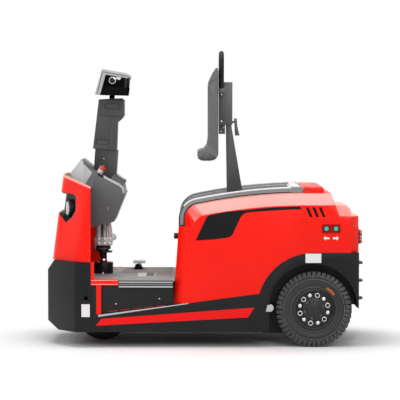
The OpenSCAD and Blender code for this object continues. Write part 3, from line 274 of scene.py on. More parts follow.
def hold(piece):
    clear()
    piece.select_set(True)
    bpy.context.view_layer.objects.active = piece


def named(piece, name):
    piece.name = piece.data.name = name
    return piece


def settle(piece, name):
    """Bakes the place into the mesh, so that the object sits at the origin."""
    hold(piece)
    bpy.ops.object.transform_apply(location=True, rotation=True, scale=True)
    return named(piece, name)


def edit_all(piece):
    """Edit mode with the whole mesh selected."""
    hold(piece)
    bpy.ops.object.mode_set(mode="EDIT")
    bpy.ops.mesh.select_all(action="SELECT")


def apply(piece, label, kind, **settings):
    """Adds a modifier with its settings and applies it."""
    hold(piece)
    made = piece.modifiers.new(label, kind)
    for key, value in settings.items():
        setattr(made, key, value)
    bpy.ops.object.modifier_apply(modifier=made.name)


def soften(piece, width, segments=2, angle=35.0):
    """Breaks the sharp edges."""
    apply(piece, "broken_edges", "BEVEL", width=width, segments=segments, limit_method="ANGLE",
          angle_limit=math.radians(angle))


def block(name, low, high, soft=None):
    """A box between two corners; soft gives the width and steps of its broken edges."""
    clear()
    low, high = Vector(low), Vector(high)
    bpy.ops.mesh.primitive_cube_add(size=1.0, location=(low + high) / 2, scale=high - low)
    piece = settle(bpy.context.object, name)
    if soft:
        soften(piece, *soft)
    return piece


def drum(name, radius, start, end, sides=32, soft=None):
    """A round bar between two points."""
    clear()
    start, end = Vector(start), Vector(end)
    turn = (end - start).to_track_quat("Z", "Y").to_euler()
    bpy.ops.mesh.primitive_cylinder_add(vertices=sides, radius=radius, depth=(end - start).length,
                                        location=(start + end) / 2, rotation=turn)
    piece = settle(bpy.context.object, name)
    if soft:
        soften(piece, *soft)
    return piece


def unpicked(piece, kind):
    """Object mode, with nothing picked in the mesh."""
    hold(piece)
    bpy.ops.object.mode_set(mode="EDIT")
    bpy.ops.mesh.select_mode(type=kind)
    bpy.ops.mesh.select_all(action="DESELECT")
    bpy.ops.object.mode_set(mode="OBJECT")


def pick_faces(piece, test):
    """Edit mode with the faces selected whose middle and normal pass the test."""
    unpicked(piece, "FACE")
    for face in piece.data.polygons:
        face.select = bool(test(face.center, face.normal))
    bpy.ops.object.mode_set(mode="EDIT")


def pick_edges(piece, test):
    """Edit mode with the edges selected whose two ends pass the test."""
    unpicked(piece, "EDGE")
    points = piece.data.vertices
    for edge in piece.data.edges:
        a, b = (points[i].co for i in edge.vertices)
        edge.select = bool(test(a, b))
    bpy.ops.object.mode_set(mode="EDIT")


def sink(piece, test, border, depth):
    """Insets the picked faces and sinks what is inside, or raises it with a negative depth."""
    pick_faces(piece, test)
    bpy.ops.mesh.inset(thickness=border, depth=0.0)
    bpy.ops.mesh.inset(thickness=abs(depth) * 0.4, depth=-depth)
    clear()


def plate(name, outline, side, thick):
    """A flat sheet from an outline of (X, Z) points, lying on the plane Y = side and growing outwards."""
    clear()
    bpy.ops.mesh.primitive_circle_add(vertices=len(outline), radius=1.0, fill_type="NGON")
    piece = bpy.context.object
    for point, (x, z) in zip(piece.data.vertices, outline):
        point.co = (x, side, z)
    out = math.copysign(thick, side)
    edit_all(piece)
    bpy.ops.mesh.extrude_region_move(TRANSFORM_OT_translate={"value": Vector((0.0, out, 0.0))})
    bpy.ops.mesh.select_all(action="SELECT")
    bpy.ops.mesh.normals_make_consistent(inside=False)
    return settle(piece, name)


def join(name, pieces):
    clear()
    for piece in pieces:
        piece.select_set(True)
    bpy.context.view_layer.objects.active = pieces[0]
    bpy.ops.object.join()
    return named(pieces[0], name)


def copy_of(piece, name, move):
    """A copy with its own mesh, moved by a matrix."""
    hold(piece)
    bpy.ops.object.duplicate()
    made = bpy.context.object
    made.data.transform(move)
    return named(made, name)


def copies(piece, moves):
    """Copies of a piece, each moved by its own step, joined to the first."""
    made = [copy_of(piece, f"{piece.name}_{index}", Matrix.Translation(move))
            for index, move in enumerate(moves)]
    return join(piece.name, [piece, *made])


def ring_of(piece, count, centre):
    """Repeats the whole mesh round an axis along Y."""
    edit_all(piece)
    turn = math.tau * (count - 1) / count
    bpy.ops.mesh.spin(steps=count - 1, dupli=True, angle=turn, center=centre, axis=Y_AXIS)
    clear()
    return piece


def turned(name, section, centre=(0.0, 0.0, 0.0), steps=96):
    """A turned piece: a closed section of (radius, height) points spun round an axis along Y."""
    clear()
    bpy.ops.mesh.primitive_circle_add(vertices=len(section), radius=1.0, fill_type="NOTHING")
    piece = bpy.context.object
    for point, (radius, height) in zip(piece.data.vertices, section):
        point.co = Vector(centre) + Vector((radius, height, 0.0))
    edit_all(piece)
    bpy.ops.mesh.spin(steps=steps, angle=math.tau, center=centre, axis=Y_AXIS)
    bpy.ops.mesh.select_all(action="SELECT")
    bpy.ops.mesh.remove_doubles(threshold=0.00005)
    bpy.ops.mesh.select_all(action="SELECT")
    bpy.ops.mesh.normals_make_consistent(inside=False)
    return settle(piece, name)


def fit(piece, slot, finish_name=None, body="chassis", angle=35.0):
    """Shades the finished piece, paints it and lets it ride on its body."""
    hold(piece)
    bpy.ops.object.shade_smooth_by_angle(angle=math.radians(angle))
    piece.data.materials.clear()
    piece.data.materials.append(FINISHES[finish_name or slot])
    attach(piece, body)
    return piece


def flipped(piece, name):
    """A mirror image across the truck's middle, with its faces turned outwards again."""
    other = copy_of(piece, name, Matrix.Scale(-1.0, 4, Vector(Y_AXIS)))
    edit_all(other)
    bpy.ops.mesh.flip_normals()
    clear()
    other.parent = None
    for key in list(other.keys()):
        del other[key]
    return other


def mirrored(piece, name, slot, finish_name=None, body="chassis"):
    """The same piece on the other side of the truck."""
    return fit(flipped(piece, name), slot, finish_name, body)


def pair(piece, slot, finish_name=None, body="chassis", other_body=None):
    """Fits a left-hand piece and its mirror image on the right."""
    fit(piece, slot, finish_name, body)
    mirrored(piece, piece.name.replace("left", "right"), slot, finish_name, other_body or body)


def round_corners(piece, radius, axis, segments=6):
    """Rounds the edges that run along an axis."""
    pick_edges(piece, lambda a, b: abs((b - a).normalized()[axis]) > 0.99)
    bpy.ops.mesh.bevel(offset=radius, segments=segments, affect="EDGES")
    clear()
    return piece


def loose_copy(node):
    """A free copy of a CAD node, with a mesh of its own, held for work."""
    piece = nodes[node].copy()
    piece.data = nodes[node].data.copy()
    bpy.context.scene.collection.objects.link(piece)
    piece.parent = None
    piece.matrix_world = Matrix.Identity(4)
    for key in list(piece.keys()):
        del piece[key]
    hold(piece)
    return piece


# Back pad: foam under vinyl, swelled by simulation

PAD_VOXEL, PAD_UNDERSIZE, PAD_SWELL = 0.005, 0.004, 0.009
PAD_PRESSURE, PAD_FRAMES, BOARD_GAP = 4.0, 20, 0.0005


def back_pad():
    foam = loose_copy("back_pad")
    edit_all(foam)
    bpy.ops.mesh.remove_doubles(threshold=0.0001)
    bpy.ops.mesh.normals_make_consistent(inside=False)
    hold(foam)
    foam.data.remesh_voxel_size = PAD_VOXEL
    bpy.ops.object.voxel_remesh()
    apply(foam, "undersize", "DISPLACE", strength=-PAD_UNDERSIZE, mid_level=0.0)
    apply(foam, "round_off", "SMOOTH", iterations=6)
    rest = [point.co.copy() for point in foam.data.vertices]
    board = foam.vertex_groups.new(name="board")
    board.add([p.index for p in foam.data.vertices if p.normal.x > 0.55], 1.0, "REPLACE")
    cloth = foam.modifiers.new("vinyl", "CLOTH")
    cloth.settings.vertex_group_mass = "board"
    cloth.settings.use_pressure = True
    cloth.settings.uniform_pressure_force = PAD_PRESSURE
    cloth.settings.effector_weights.gravity = 0.0
    cloth.settings.quality = 5
    scene = bpy.context.scene
    for step in range(PAD_FRAMES):
        scene.frame_set(step + 1)
    hold(foam)
    bpy.ops.object.modifier_apply(modifier=cloth.name)
    scene.frame_set(1)
    back_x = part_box("back_pad")[1].x - BOARD_GAP
    for point, start in zip(foam.data.vertices, rest):
        move = point.co - start
        if move.length > PAD_SWELL:
            point.co = start + move.normalized() * PAD_SWELL
        point.co.x = min(point.co.x, back_x)
    foam.vertex_groups.clear()
    apply(foam, "fine", "SUBSURF", levels=1, render_levels=1)
    fit(named(foam, "padded_back"), "pad_vinyl", body="backrest", angle=60.0)
    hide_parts("back_pad")


back_pad()


# Rear tyres: a carcass with sidewall rings, and two staggered rows of blocks

LEFT_HUB = REAR_AXLE + LEFT * WHEEL_Y
TYRE_R, TYRE_W, RIM_R, BEAD = 0.2075, 0.112, 0.116, 0.008
LUGS = 46
TREAD_R = 0.178


def tread_tone(piece):
    """The blocks of the tread are greyer than the walls."""
    piece.data.materials.append(FINISHES["tyre_tread"])
    for face in piece.data.polygons:
        reach = math.hypot(face.center.x - REAR_AXLE.x, face.center.z - REAR_AXLE.z)
        face.material_index = 1 if reach > TREAD_R else 0


def rear_tyres():
    half, wall, groove = TYRE_W / 2, TYRE_R - RIM_R, TYRE_R - 0.011
    side = [
        (RIM_R - BEAD, half - BEAD), (RIM_R + 0.001, half - BEAD), (RIM_R + 0.001, half - 0.004),
        (RIM_R + 0.004, half - 0.0015), (RIM_R + 0.008, half - 0.0015), (RIM_R + 0.011, half - 0.0045),
    ]
    side += [(RIM_R + share * wall, half - inward) for share, inward in (
        (0.16, 0.0045), (0.24, 0.002), (0.34, 0.0004), (0.42, 0.0), (0.47, 0.0006), (0.49, 0.003),
        (0.53, 0.003), (0.55, 0.0005), (0.62, 0.004), (0.8, 0.012))]
    side += [(groove - 0.002, half - 0.022), (groove, half - 0.03)]
    carcass = turned("left_block_tyre", side + [(r, -y) for r, y in reversed(side)], LEFT_HUB)
    span = math.tau * TYRE_R / LUGS
    lug = block("lug", (-span * 0.36, 0.004, groove - 0.006), (span * 0.36, half - 0.008, TYRE_R))
    pick_faces(lug, lambda c, n: n.y > 0.9)
    bpy.ops.mesh.extrude_region_move(TRANSFORM_OT_translate={"value": Vector((0.0, 0.006, -0.01))})
    bpy.ops.transform.resize(value=(0.94, 1.0, 0.72))
    bpy.ops.mesh.extrude_region_move(TRANSFORM_OT_translate={"value": Vector((0.0, 0.001, -0.016))})
    bpy.ops.transform.resize(value=(0.9, 1.0, 0.8))
    pick_faces(lug, lambda c, n: n.y < -0.9)
    bpy.ops.transform.translate(value=(span * 0.16, 0.0, 0.0))
    soften(lug, 0.0012, 1, 30.0)
    half_pitch = Matrix.Rotation(math.pi / LUGS, 4, "Y")
    far = copy_of(lug, "far_lug", half_pitch)
    lug.data.transform(Matrix.Diagonal((-1.0, -1.0, 1.0, 1.0)))
    rows = []
    for row in (lug, far):
        row.data.transform(Matrix.Translation(LEFT_HUB))
        rows.append(ring_of(row, LUGS, LEFT_HUB))
    left = fit(join("left_block_tyre", [carcass, *rows]), "tyre", body="rear_left_wheel", angle=28.0)
    right = mirrored(left, "right_block_tyre", "tyre", body="rear_right_wheel")
    for piece, node in ((left, "left_tyre"), (right, "right_tyre")):
        tread_tone(piece)
        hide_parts(node)


rear_tyres()


def front_tyre():
    """A smooth small tyre with three grooves round its tread."""
    radius, half, inner, deep = 0.15, 0.045, 0.0764, 0.006
    edge = [(inner, half - 0.003), (inner + 0.006, half), (0.118, half), (0.122, half - 0.0015),
            (0.134, half - 0.002), (0.1445, half - 0.005), (0.1485, half - 0.01), (radius, half - 0.016)]
    tread = []
    for y in (0.02, 0.0, -0.02):
        tread += [(radius, y + 0.0035), (radius - deep, y + 0.0025), (radius - deep, y - 0.0025),
                  (radius, y - 0.0035)]
    piece = turned("front_grooved_tyre", edge + tread + [(r, -y) for r, y in reversed(edge)], FRONT_AXLE)
    fit(piece, "tyre", body="front_wheel")
    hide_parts("front_tyre")


front_tyre()


# Rounded skins over the sheet-metal and moulded nodes

def skin_of(node, name):
    """A copy of a node with its loose triangles merged and its flat faces made whole."""
    piece = loose_copy(node)
    bpy.ops.mesh.customdata_custom_splitnormals_clear()
    edit_all(piece)
    bpy.ops.mesh.remove_doubles(threshold=0.00002)
    bpy.ops.mesh.select_all(action="SELECT")
    bpy.ops.mesh.dissolve_limited(angle_limit=math.radians(0.6))
    clear()
    return named(piece, name)


def cut(piece, tool):
    """Takes the tool's shape out of a piece."""
    apply(piece, "cut_out", "BOOLEAN", operation="DIFFERENCE", solver="EXACT", object=tool)
    bpy.data.objects.remove(tool)


def finish_skin(piece, node, width, segments=2):
    """Rounds the skin's edges; it then stands for the node."""
    soften(piece, width, segments, 30.0)
    fit(piece, NODE_SLOTS[node], SPECIAL.get(node), NODE_BODY[node])
    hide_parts(node)
    return piece


def rounded(node, width, segments=2):
    return finish_skin(skin_of(node, node + "_skin"), node, width, segments)


def tone(piece, finish_name, test):
    """A further finish on the faces that pass the test."""
    piece.data.materials.append(FINISHES[finish_name])
    index = len(piece.data.materials) - 1
    for face in piece.data.polygons:
        if test(face):
            face.material_index = index


def slice_at(piece, point, normal):
    """Splits the faces along a plane, where one finish meets another."""
    edit_all(piece)
    bpy.ops.mesh.bisect(plane_co=point, plane_no=normal)
    clear()


COLUMN = Matrix.Translation((-0.584, 0.0, 0.64)) @ Matrix.Rotation(math.radians(4.0), 4, "Y")
CONSOLE = Matrix.Translation((-0.69786, 0.0, 1.022)) @ Matrix.Rotation(math.radians(35.008), 4, "Y")


def placed(piece, frame_of):
    """Moves a piece drawn in the column's or the console's own frame to its place."""
    piece.data.transform(frame_of)
    return piece


def column_cuts():
    """Recesses and seams in the column's cover, drawn on the left in the column's own frame."""
    finger = round_corners(block("finger_recess", (-0.038, -0.08, 0.6625), (0.052, -0.0675, 0.6955)), 0.016, 1)
    grip = round_corners(block("grip_recess", (-0.072, -0.08, 0.46), (0.002, -0.0655, 0.491)), 0.012, 1)
    seam = block("cover_seam", (0.0015, -0.08, 0.43), (0.0035, -0.0685, 0.622))
    crease = block("cover_crease", (-0.1, -0.08, 0.6205), (0.12, -0.0685, 0.623))
    tools = [placed(tool, COLUMN) for tool in (finger, grip, seam, crease)]
    return tools + [flipped(tool, tool.name + "_right") for tool in tools]


column = skin_of("steering_column", "steering_column_skin")
for tool in column_cuts():
    cut(column, tool)
finish_skin(column, "steering_column", 0.0035)


# Upward-sloping faces along the side panels' shoulder, which take a painted highlight.
def is_shoulder(face):
    return face.normal.z > 0.35 and 0.25 < abs(face.normal.y) < 0.97 and face.area > 0.0004


# Side panels: the shoulder faces are toned lighter red as a painted highlight, and the shoulder's front corner
# takes a less pink painted highlight.
for node in ("left_side_panel", "right_side_panel"):
    panel = rounded(node, 0.002)
    tone(panel, "highlight_red", is_shoulder)
    tone(panel, "corner_highlight_red", lambda face: is_shoulder(face) and face.normal.x < -0.2)
# Rear cowl: its upward faces at the back are toned lighter red as a painted highlight.
tone(rounded("rear_cowl", 0.004), "highlight_red", lambda face: face.normal.z > 0.35 and face.center.x > 0.7)

# Front cowl: the rim lip above the slicing plane is toned pale pink as a painted highlight.
RIM_POINT = Vector((-0.633, 0.0, 0.868))
RIM_UP = Vector((0.334, 0.0, 0.943))
cowl = skin_of("front_cowl", "front_cowl_skin")
slice_at(cowl, RIM_POINT, RIM_UP)
finish_skin(cowl, "front_cowl", 0.0015)
tone(cowl, "highlight_pink", lambda face: (face.center - RIM_POINT).dot(RIM_UP) > 0.0)

for node, width in (
    ("front_bumper", 0.004), ("left_skirt", 0.002), ("right_skirt", 0.002),
    ("step_frames", 0.002), ("step_panels", 0.0015), ("bulkhead", 0.002), ("backrest_mast", 0.003),
    ("backrest_bracket", 0.0025), ("head_hub", 0.004), ("tow_coupling", 0.002),
    ("steer_seat", 0.003), ("lamp_fascia", 0.0015), ("coupling_pin", 0.0015), ("floor_mat", 0.002),
):
    rounded(node, width)

GEAR_FOOT = 0.532
tone(rounded("steering_gear", 0.002), "black_plastic", lambda face: face.center.z < GEAR_FOOT)
# Console: its front-left upper faces are toned light grey as a painted highlight.
tone(rounded("console", 0.004), "hood_highlight_grey",
     lambda face: face.normal.x < -0.3 and abs(face.normal.y) > 0.3 and face.center.z > 0.85)
STOP_BASE = 0.0158
tone(rounded("stop_button", 0.0025), "white_film",
     lambda face: (CONSOLE.inverted() @ face.center).z < STOP_BASE)

GUARD_REAR, GUARD_FOOT, GUARD_FRONT = 0.07, 0.752, -0.052
guards = skin_of("hand_guards", "hand_guards_skin")
slice_at(guards, COLUMN @ Vector((GUARD_REAR, 0.0, 0.8)), COLUMN.col[0].to_3d())
slice_at(guards, COLUMN @ Vector((0.0, 0.0, GUARD_FOOT)), COLUMN.col[2].to_3d())
finish_skin(guards, "hand_guards", 0.0025)


def is_guard_back(face):
    spot = COLUMN.inverted() @ face.center
    return (spot.x > GUARD_REAR and spot.z < 0.842) or (spot.z < GUARD_FOOT and spot.x > GUARD_FRONT)


tone(guards, "black_plastic", is_guard_back)

HUB_R = 0.064
for node in ("left_rim", "right_rim"):
    tone(rounded(node, 0.0015), "hub_grey",
         lambda face: math.hypot(face.center.x - REAR_AXLE.x, face.center.z - REAR_AXLE.z) < HUB_R)


# Bonnet: dark lid and grey rails, with a painted highlight along the rails' upper edge and painted shade along
# their foot

RAIL_Y, RAIL_SIDE, RAIL_LINE = 0.298, 0.339, 0.0055
RAIL_BEND_Z, RAIL_FAR_X = 0.77, 0.45
RAIL_TOP = [Vector((x, 0.0, z)) for x, z in (
    (-0.1539, 0.6605), (-0.1539, 0.7016), (-0.1497, 0.7324), (-0.1373, 0.7609), (-0.1177, 0.7849),
    (-0.0923, 0.8028), (-0.0631, 0.8132), (0.0024, 0.8263), (0.1006, 0.8431), (0.1987, 0.8566),
    (0.2969, 0.8666), (0.3951, 0.8733), (0.526, 0.877))]


def under_top(face):
    """How far the middle of a face lies from the rail's upper edge."""
    spot = Vector((face.center.x, 0.0, face.center.z))
    gaps = []
    for start, end in zip(RAIL_TOP, RAIL_TOP[1:]):
        share = intersect_point_line(spot, start, end)[1]
        gaps.append((spot - start.lerp(end, min(max(share, 0.0), 1.0))).length)
    return min(gaps)


lid = rounded("bonnet_lid", 0.008, 3)
# A narrow border round each rail's side face carries painted highlight along its top and painted shade along
# the rest.
pick_faces(lid, lambda c, n: abs(n.y) > 0.99 and abs(c.y) > RAIL_SIDE)
bpy.ops.mesh.inset(thickness=RAIL_LINE, depth=0.0)
clear()
widest = max(face.area for face in lid.data.polygons if abs(face.center.y) > RAIL_SIDE)


def is_rail_line(face):
    return abs(face.normal.y) > 0.99 and abs(face.center.y) > RAIL_SIDE and face.area < widest / 2


tone(lid, "rail_grey", lambda face: abs(face.center.y) > RAIL_Y)
# The border's foot and front edge: painted shade in black.
tone(lid, "black_film_and_shade", lambda face: is_rail_line(face) and face.center.x < RAIL_FAR_X)
# Along the rails' upper edge and on their bevelled faces: a painted highlight.
tone(lid, "pale_grey_and_highlight", lambda face: face.center.z > RAIL_BEND_Z and face.center.x < RAIL_FAR_X and (
    (is_rail_line(face) and under_top(face) < 2 * RAIL_LINE)
    or (abs(face.center.y) > RAIL_Y and 0.25 < abs(face.normal.y) < 0.97)))
# The cross piece at the rails' rear end, in the same pale finish.
cross = block("lid_cross_piece", (0.462, -0.2995, 0.855), (0.516, 0.2995, 0.8765))
pick_edges(cross, lambda a, b: min(a.z, b.z) > 0.87 and max(a.x, b.x) < 0.47)
bpy.ops.mesh.bevel(offset=0.016, segments=1, affect="EDGES")
soften(cross, 0.003, 2)
fit(cross, "guard_grey", "pale_grey_and_highlight", "bonnet")


# Small hardware

def bolts(name, places, axis, radius, height, body="chassis", finish_name="zinc", slot="bare_steel"):
    """Chamfered hexagon heads on washers: one is modelled and the others are copied from it."""
    first, axis = Vector(places[0]), Vector(axis)
    head = drum(name, radius, first, first + axis * height, 6)
    pick_faces(head, lambda c, n: n.dot(axis) > 0.9)
    bpy.ops.mesh.inset(thickness=radius * 0.16, depth=height * 0.14)
    washer = drum("washer", radius * 1.35, first - axis * 0.0005, first + axis * height * 0.22, 24,
                  soft=(height * 0.05, 1))
    whole = copies(join(name, [head, washer]), [Vector(place) - first for place in places[1:]])
    return fit(whole, slot, finish_name, body)


def left_bolts(name, places, depth, *size, body="chassis", finish_name="zinc", slot="bare_steel"):
    """Bolts on the left flank at (X, Z) places, and their mirror images on the right."""
    made = bolts("left_" + name, [(x, -depth, z) for x, z in places], LEFT, *size, body, finish_name, slot)
    mirrored(made, "right_" + name, slot, finish_name, body)


NUT_PCR, SCREW_PCR = 0.0785, 0.0505
NUT_TURN = math.radians(16.4)


def wheel_hardware():
    """Sleeve nuts, hexagon bolts, sidewall rings toned as painted highlights, the rim's ribbed edge, hub
    screws, valve and mark.
    """
    body, other = "rear_left_wheel", "rear_right_wheel"
    foot = LEFT_HUB + Vector((NUT_PCR, 0.0, 0.0)) + LEFT * 0.0298

    def around(angle):
        return Matrix.Translation(LEFT_HUB) @ Matrix.Rotation(angle, 4, "Y") @ Matrix.Translation(-LEFT_HUB)

    nut = drum("left_wheel_nuts", 0.0138, foot, foot + LEFT * 0.0172, 24, soft=(0.0012, 2, 50.0))
    pick_faces(nut, lambda c, n: n.dot(LEFT) > 0.99)
    for border, depth in ((0.003, 0.0), (0.001, -0.0034), (0.0012, 0.0), (0.0008, 0.0026)):
        bpy.ops.mesh.inset(thickness=border, depth=depth)
    clear()
    nut.data.transform(around(-NUT_TURN))
    pair(ring_of(nut, 6, LEFT_HUB), "bare_steel", "zinc", body, other)
    middles = [Matrix.Rotation(i * math.tau / 6 - NUT_TURN, 3, "Y") @ Vector((NUT_PCR, 0.0, 0.0))
               for i in range(6)]

    # Faces round the middle of each nut are painted in the rim's black: painted shade in the bore.
    def in_shaded_bore(face):
        flat = Vector((face.center.x - REAR_AXLE.x, 0.0, face.center.z - REAR_AXLE.z))
        return min((flat - middle).length for middle in middles) < 0.0088

    for name in ("left_wheel_nuts", "right_wheel_nuts"):
        tone(bpy.data.objects[name], "rim_paint", in_shaded_bore)

    stud = drum("left_wheel_bolts", 0.0114, foot, foot + LEFT * 0.0112, 6, soft=(0.0012, 2, 50.0))
    stud.data.transform(around(math.radians(-30.0) - NUT_TURN))
    pair(ring_of(stud, 6, LEFT_HUB), "bare_steel", "zinc", body, other)

    # Thin raised rings at the bead and at mid-wall, toned light grey as painted highlights.
    for name, inner, outer in (("left_bead_line", 0.1213, 0.1226), ("left_wall_line", 0.1655, 0.1675)):
        section = [(inner, -0.054), (outer, -0.054), (outer, -0.0562), (inner, -0.0562)]
        pair(turned(name, section, LEFT_HUB), "tyre", "tyre_highlight_line", body, other)
    lip = [(0.0978, 0.0302), (0.0978, 0.04), (0.1, 0.044), (0.1025, 0.0425), (0.105, 0.0465), (0.1075, 0.045),
           (0.11, 0.05), (0.113, 0.0515), (0.1152, 0.0562), (0.1162, 0.0566), (0.1162, 0.054), (0.1085, 0.04),
           (0.1, 0.0302)]
    pair(turned("left_rim_edge", [(r, -y) for r, y in lip], LEFT_HUB), "rim_paint", "hub_grey", body, other)

    spots = [math.tau * i / 6 + 0.3 for i in range(6)]
    places = [LEFT_HUB + Vector((SCREW_PCR * math.cos(a), -0.0398, SCREW_PCR * math.sin(a))) for a in spots]
    screws = bolts("left_hub_screws", places, LEFT, 0.0048, 0.0045, body, "axle_iron")
    mirrored(screws, "right_hub_screws", "bare_steel", "axle_iron", other)
    valve = drum("left_valve", 0.0042, LEFT_HUB + Vector((0.09, -0.029, -0.02)),
                 LEFT_HUB + Vector((0.094, -0.052, -0.022)), 16, soft=(0.001, 2))
    pair(valve, "black_plastic", None, body, other)

    arc = [math.radians(47.7 + step) for step in range(-12, 13, 3)]
    rim = [(0.142, a) for a in arc] + [(0.129, a) for a in reversed(arc)]
    mark = plate("left_tyre_mark",
                 [(REAR_AXLE.x + r * math.cos(a), REAR_AXLE.z + r * math.sin(a)) for r, a in rim],
                 -(WHEEL_Y + 0.052), 0.0034)
    fit(mark, "tyre", "orange_mark", body)


wheel_hardware()


# Painted bands, films and blank plates on the flanks, with painted highlights, reflections and shade

SWOOSH = [
    (-0.0615, 0.5863), (0.0395, 0.5928), (0.1049, 0.6007), (0.1245, 0.6059), (0.1375, 0.6146), (0.1484, 0.6364),
    (0.1833, 0.7126), (0.1985, 0.73), (0.2181, 0.7387), (0.2573, 0.7431), (0.3227, 0.7474), (0.4315, 0.7545),
    (0.5152, 0.7565), (0.5078, 0.773), (0.388, 0.769), (0.2791, 0.7605), (0.2007, 0.7518), (0.1092, 0.7443),
    (0.0178, 0.7257), (0.006, 0.72), (-0.0018, 0.7126),
]
STRIPE = [(-0.6061, 0.1201), (0.2253, 0.1661), (0.2595, 0.2193), (-0.5736, 0.1585)]
# A light line along the sill's top edge: a painted highlight.
SILL_HIGHLIGHT = [(-0.593, 0.169), (-0.1, 0.24), (-0.1, 0.2444), (-0.593, 0.179)]
ARCH_BRACKET = [(0.322, 0.198), (0.352, 0.198), (0.364, 0.21), (0.364, 0.226), (0.352, 0.238), (0.33, 0.232)]
ARROW = [(-0.0165, 0.0), (-0.003, -0.0125), (-0.003, -0.0055), (0.0165, -0.0055), (0.0165, 0.0055),
         (-0.003, 0.0055), (-0.003, 0.0125)]
JOG_Z, ARROW_Z = 0.651, 0.599
JOG_SPOTS = ((0.651, 1), (0.703, -1))
STEP_Y = 0.388


def oblong(x0, z0, x1, z1):
    return [(x0, z0), (x1, z0), (x1, z1), (x0, z1)]


def slanted(x0, z0, x1, z1, tall):
    """A thin band between two points, as an outline."""
    return [(x0, z0 - tall / 2), (x1, z1 - tall / 2), (x1, z1 + tall / 2), (x0, z0 + tall / 2)]


def flank(name, outline, slot, finish_name=None, thick=PAINT_T, side=SIDE_Y):
    """A flat piece on the left flank, and its mirror image on the right."""
    pair(plate("left_" + name, outline, -side, thick), slot, finish_name)


flank("shoulder_band", SWOOSH, "black_paint", "black_film_and_shade")
flank("sill_stripe", STRIPE, "red_paint", "red_film_and_reflection")
# The sill's top edge in silver: a painted highlight.
flank("sill_highlight", SILL_HIGHLIGHT, "guard_grey", "trim_silver")
for name, outline in (("left_bumper_sticker", oblong(-0.684, 0.168, -0.638, 0.238)),
                      ("left_blank_plate", oblong(0.5375, 0.464, 0.624, 0.515))):
    fit(plate(name, outline, -SIDE_Y, PAINT_T), "guard_grey", "white_film")
flank("arch_bracket", ARCH_BRACKET, "guard_grey", "trim_silver", 0.003)
flank("vent_backing", oblong(0.52, 0.7, 0.66, 0.78), "black_plastic", None, 0.002, 0.366)
# A black plate behind the skirt's rear end: it stands for the dark underbody there and is carried down low as a
# painted shadow sheet.
flank("underbody_shade_plate", oblong(0.306, 0.06, 0.51, 0.228), "black_paint", None, 0.004, 0.227)
flank("kick_plate", oblong(-0.698, 0.378, -0.636, 0.466), "red_paint", None, -0.002, 0.386)
for index, (spot, point) in enumerate(JOG_SPOTS):
    flank(f"jog_arrow_{index}", [(spot + point * x, ARROW_Z + z) for x, z in ARROW], "guard_grey", "white_film")
# Three bands along the step's nosing: the upper and lower ones are painted highlights on its ribs, and the
# middle one is grey.
for index, (height, tall, shade) in enumerate((
        (0.3585, 0.006, "trim_silver"), (0.347, 0.0055, "rail_grey"), (0.3345, 0.0075, "trim_silver"))):
    band = slanted(-0.48, height, -0.186, height - 0.001, tall)
    flank(f"step_nosing_{index}", band, "guard_grey", shade, 0.003)
# Two thin ribs on the red step frame, toned pale pink as a painted highlight.
for index, height in enumerate((0.368, 0.347)):
    flank(f"frame_rib_{index}", slanted(-0.63, height, -0.485, height, 0.004), "red_paint", "highlight_pink", 0.0012)

# Short red dashes low on the step panel: painted reflections of red paint.
reflection_dash = plate("left_step_dashes", slanted(-0.535, 0.197, -0.485, 0.2025, 0.0028), -STEP_Y, PAINT_T)
pair(copies(reflection_dash, [Vector((0.064 * i, 0.0, 0.00704 * i)) for i in range(1, 5)]), "red_paint", "red_film_and_reflection")
left_bolts("step_screws", [(-0.496, 0.239), (-0.2585, 0.267)], STEP_Y, 0.003, 0.003)
left_bolts("bumper_bolts", [(-0.65, 0.44), (-0.65, 0.13)], SIDE_Y, 0.006, 0.005,
           finish_name="black_paint", slot="black_paint")


def jog_buttons():
    """A dark ring with a green cap; the second of each is a copy."""
    base = Vector((JOG_SPOTS[0][0], -0.4028, JOG_Z))
    step = [Vector((JOG_SPOTS[1][0] - JOG_SPOTS[0][0], 0.0, 0.0))]
    ring = drum("left_jog_rings", 0.0195, base, base + LEFT * 0.0078, 40, soft=(0.0016, 2))
    pair(copies(ring, step), "black_plastic")
    cap = drum("left_jog_caps", 0.012, base, base + LEFT * 0.0094, 40, soft=(0.0014, 3))
    sink(cap, lambda c, n: n.dot(LEFT) > 0.99, 0.003, 0.0006)
    pair(copies(cap, step), "jog_green")


jog_buttons()

LATCH_YZ = (-0.25, 0.602)
knob = drum("bulkhead_latch", 0.0165, (-0.15, *LATCH_YZ), (-0.181, *LATCH_YZ), 32, soft=(0.005, 3))
stem = drum("latch_stem", 0.01, (-0.14, *LATCH_YZ), (-0.168, *LATCH_YZ), 24, soft=(0.0015, 2))
fit(join("bulkhead_latch", [knob, stem]), "black_plastic")


# Headlamps: bezel, dome and ribs, set on the face of each lamp

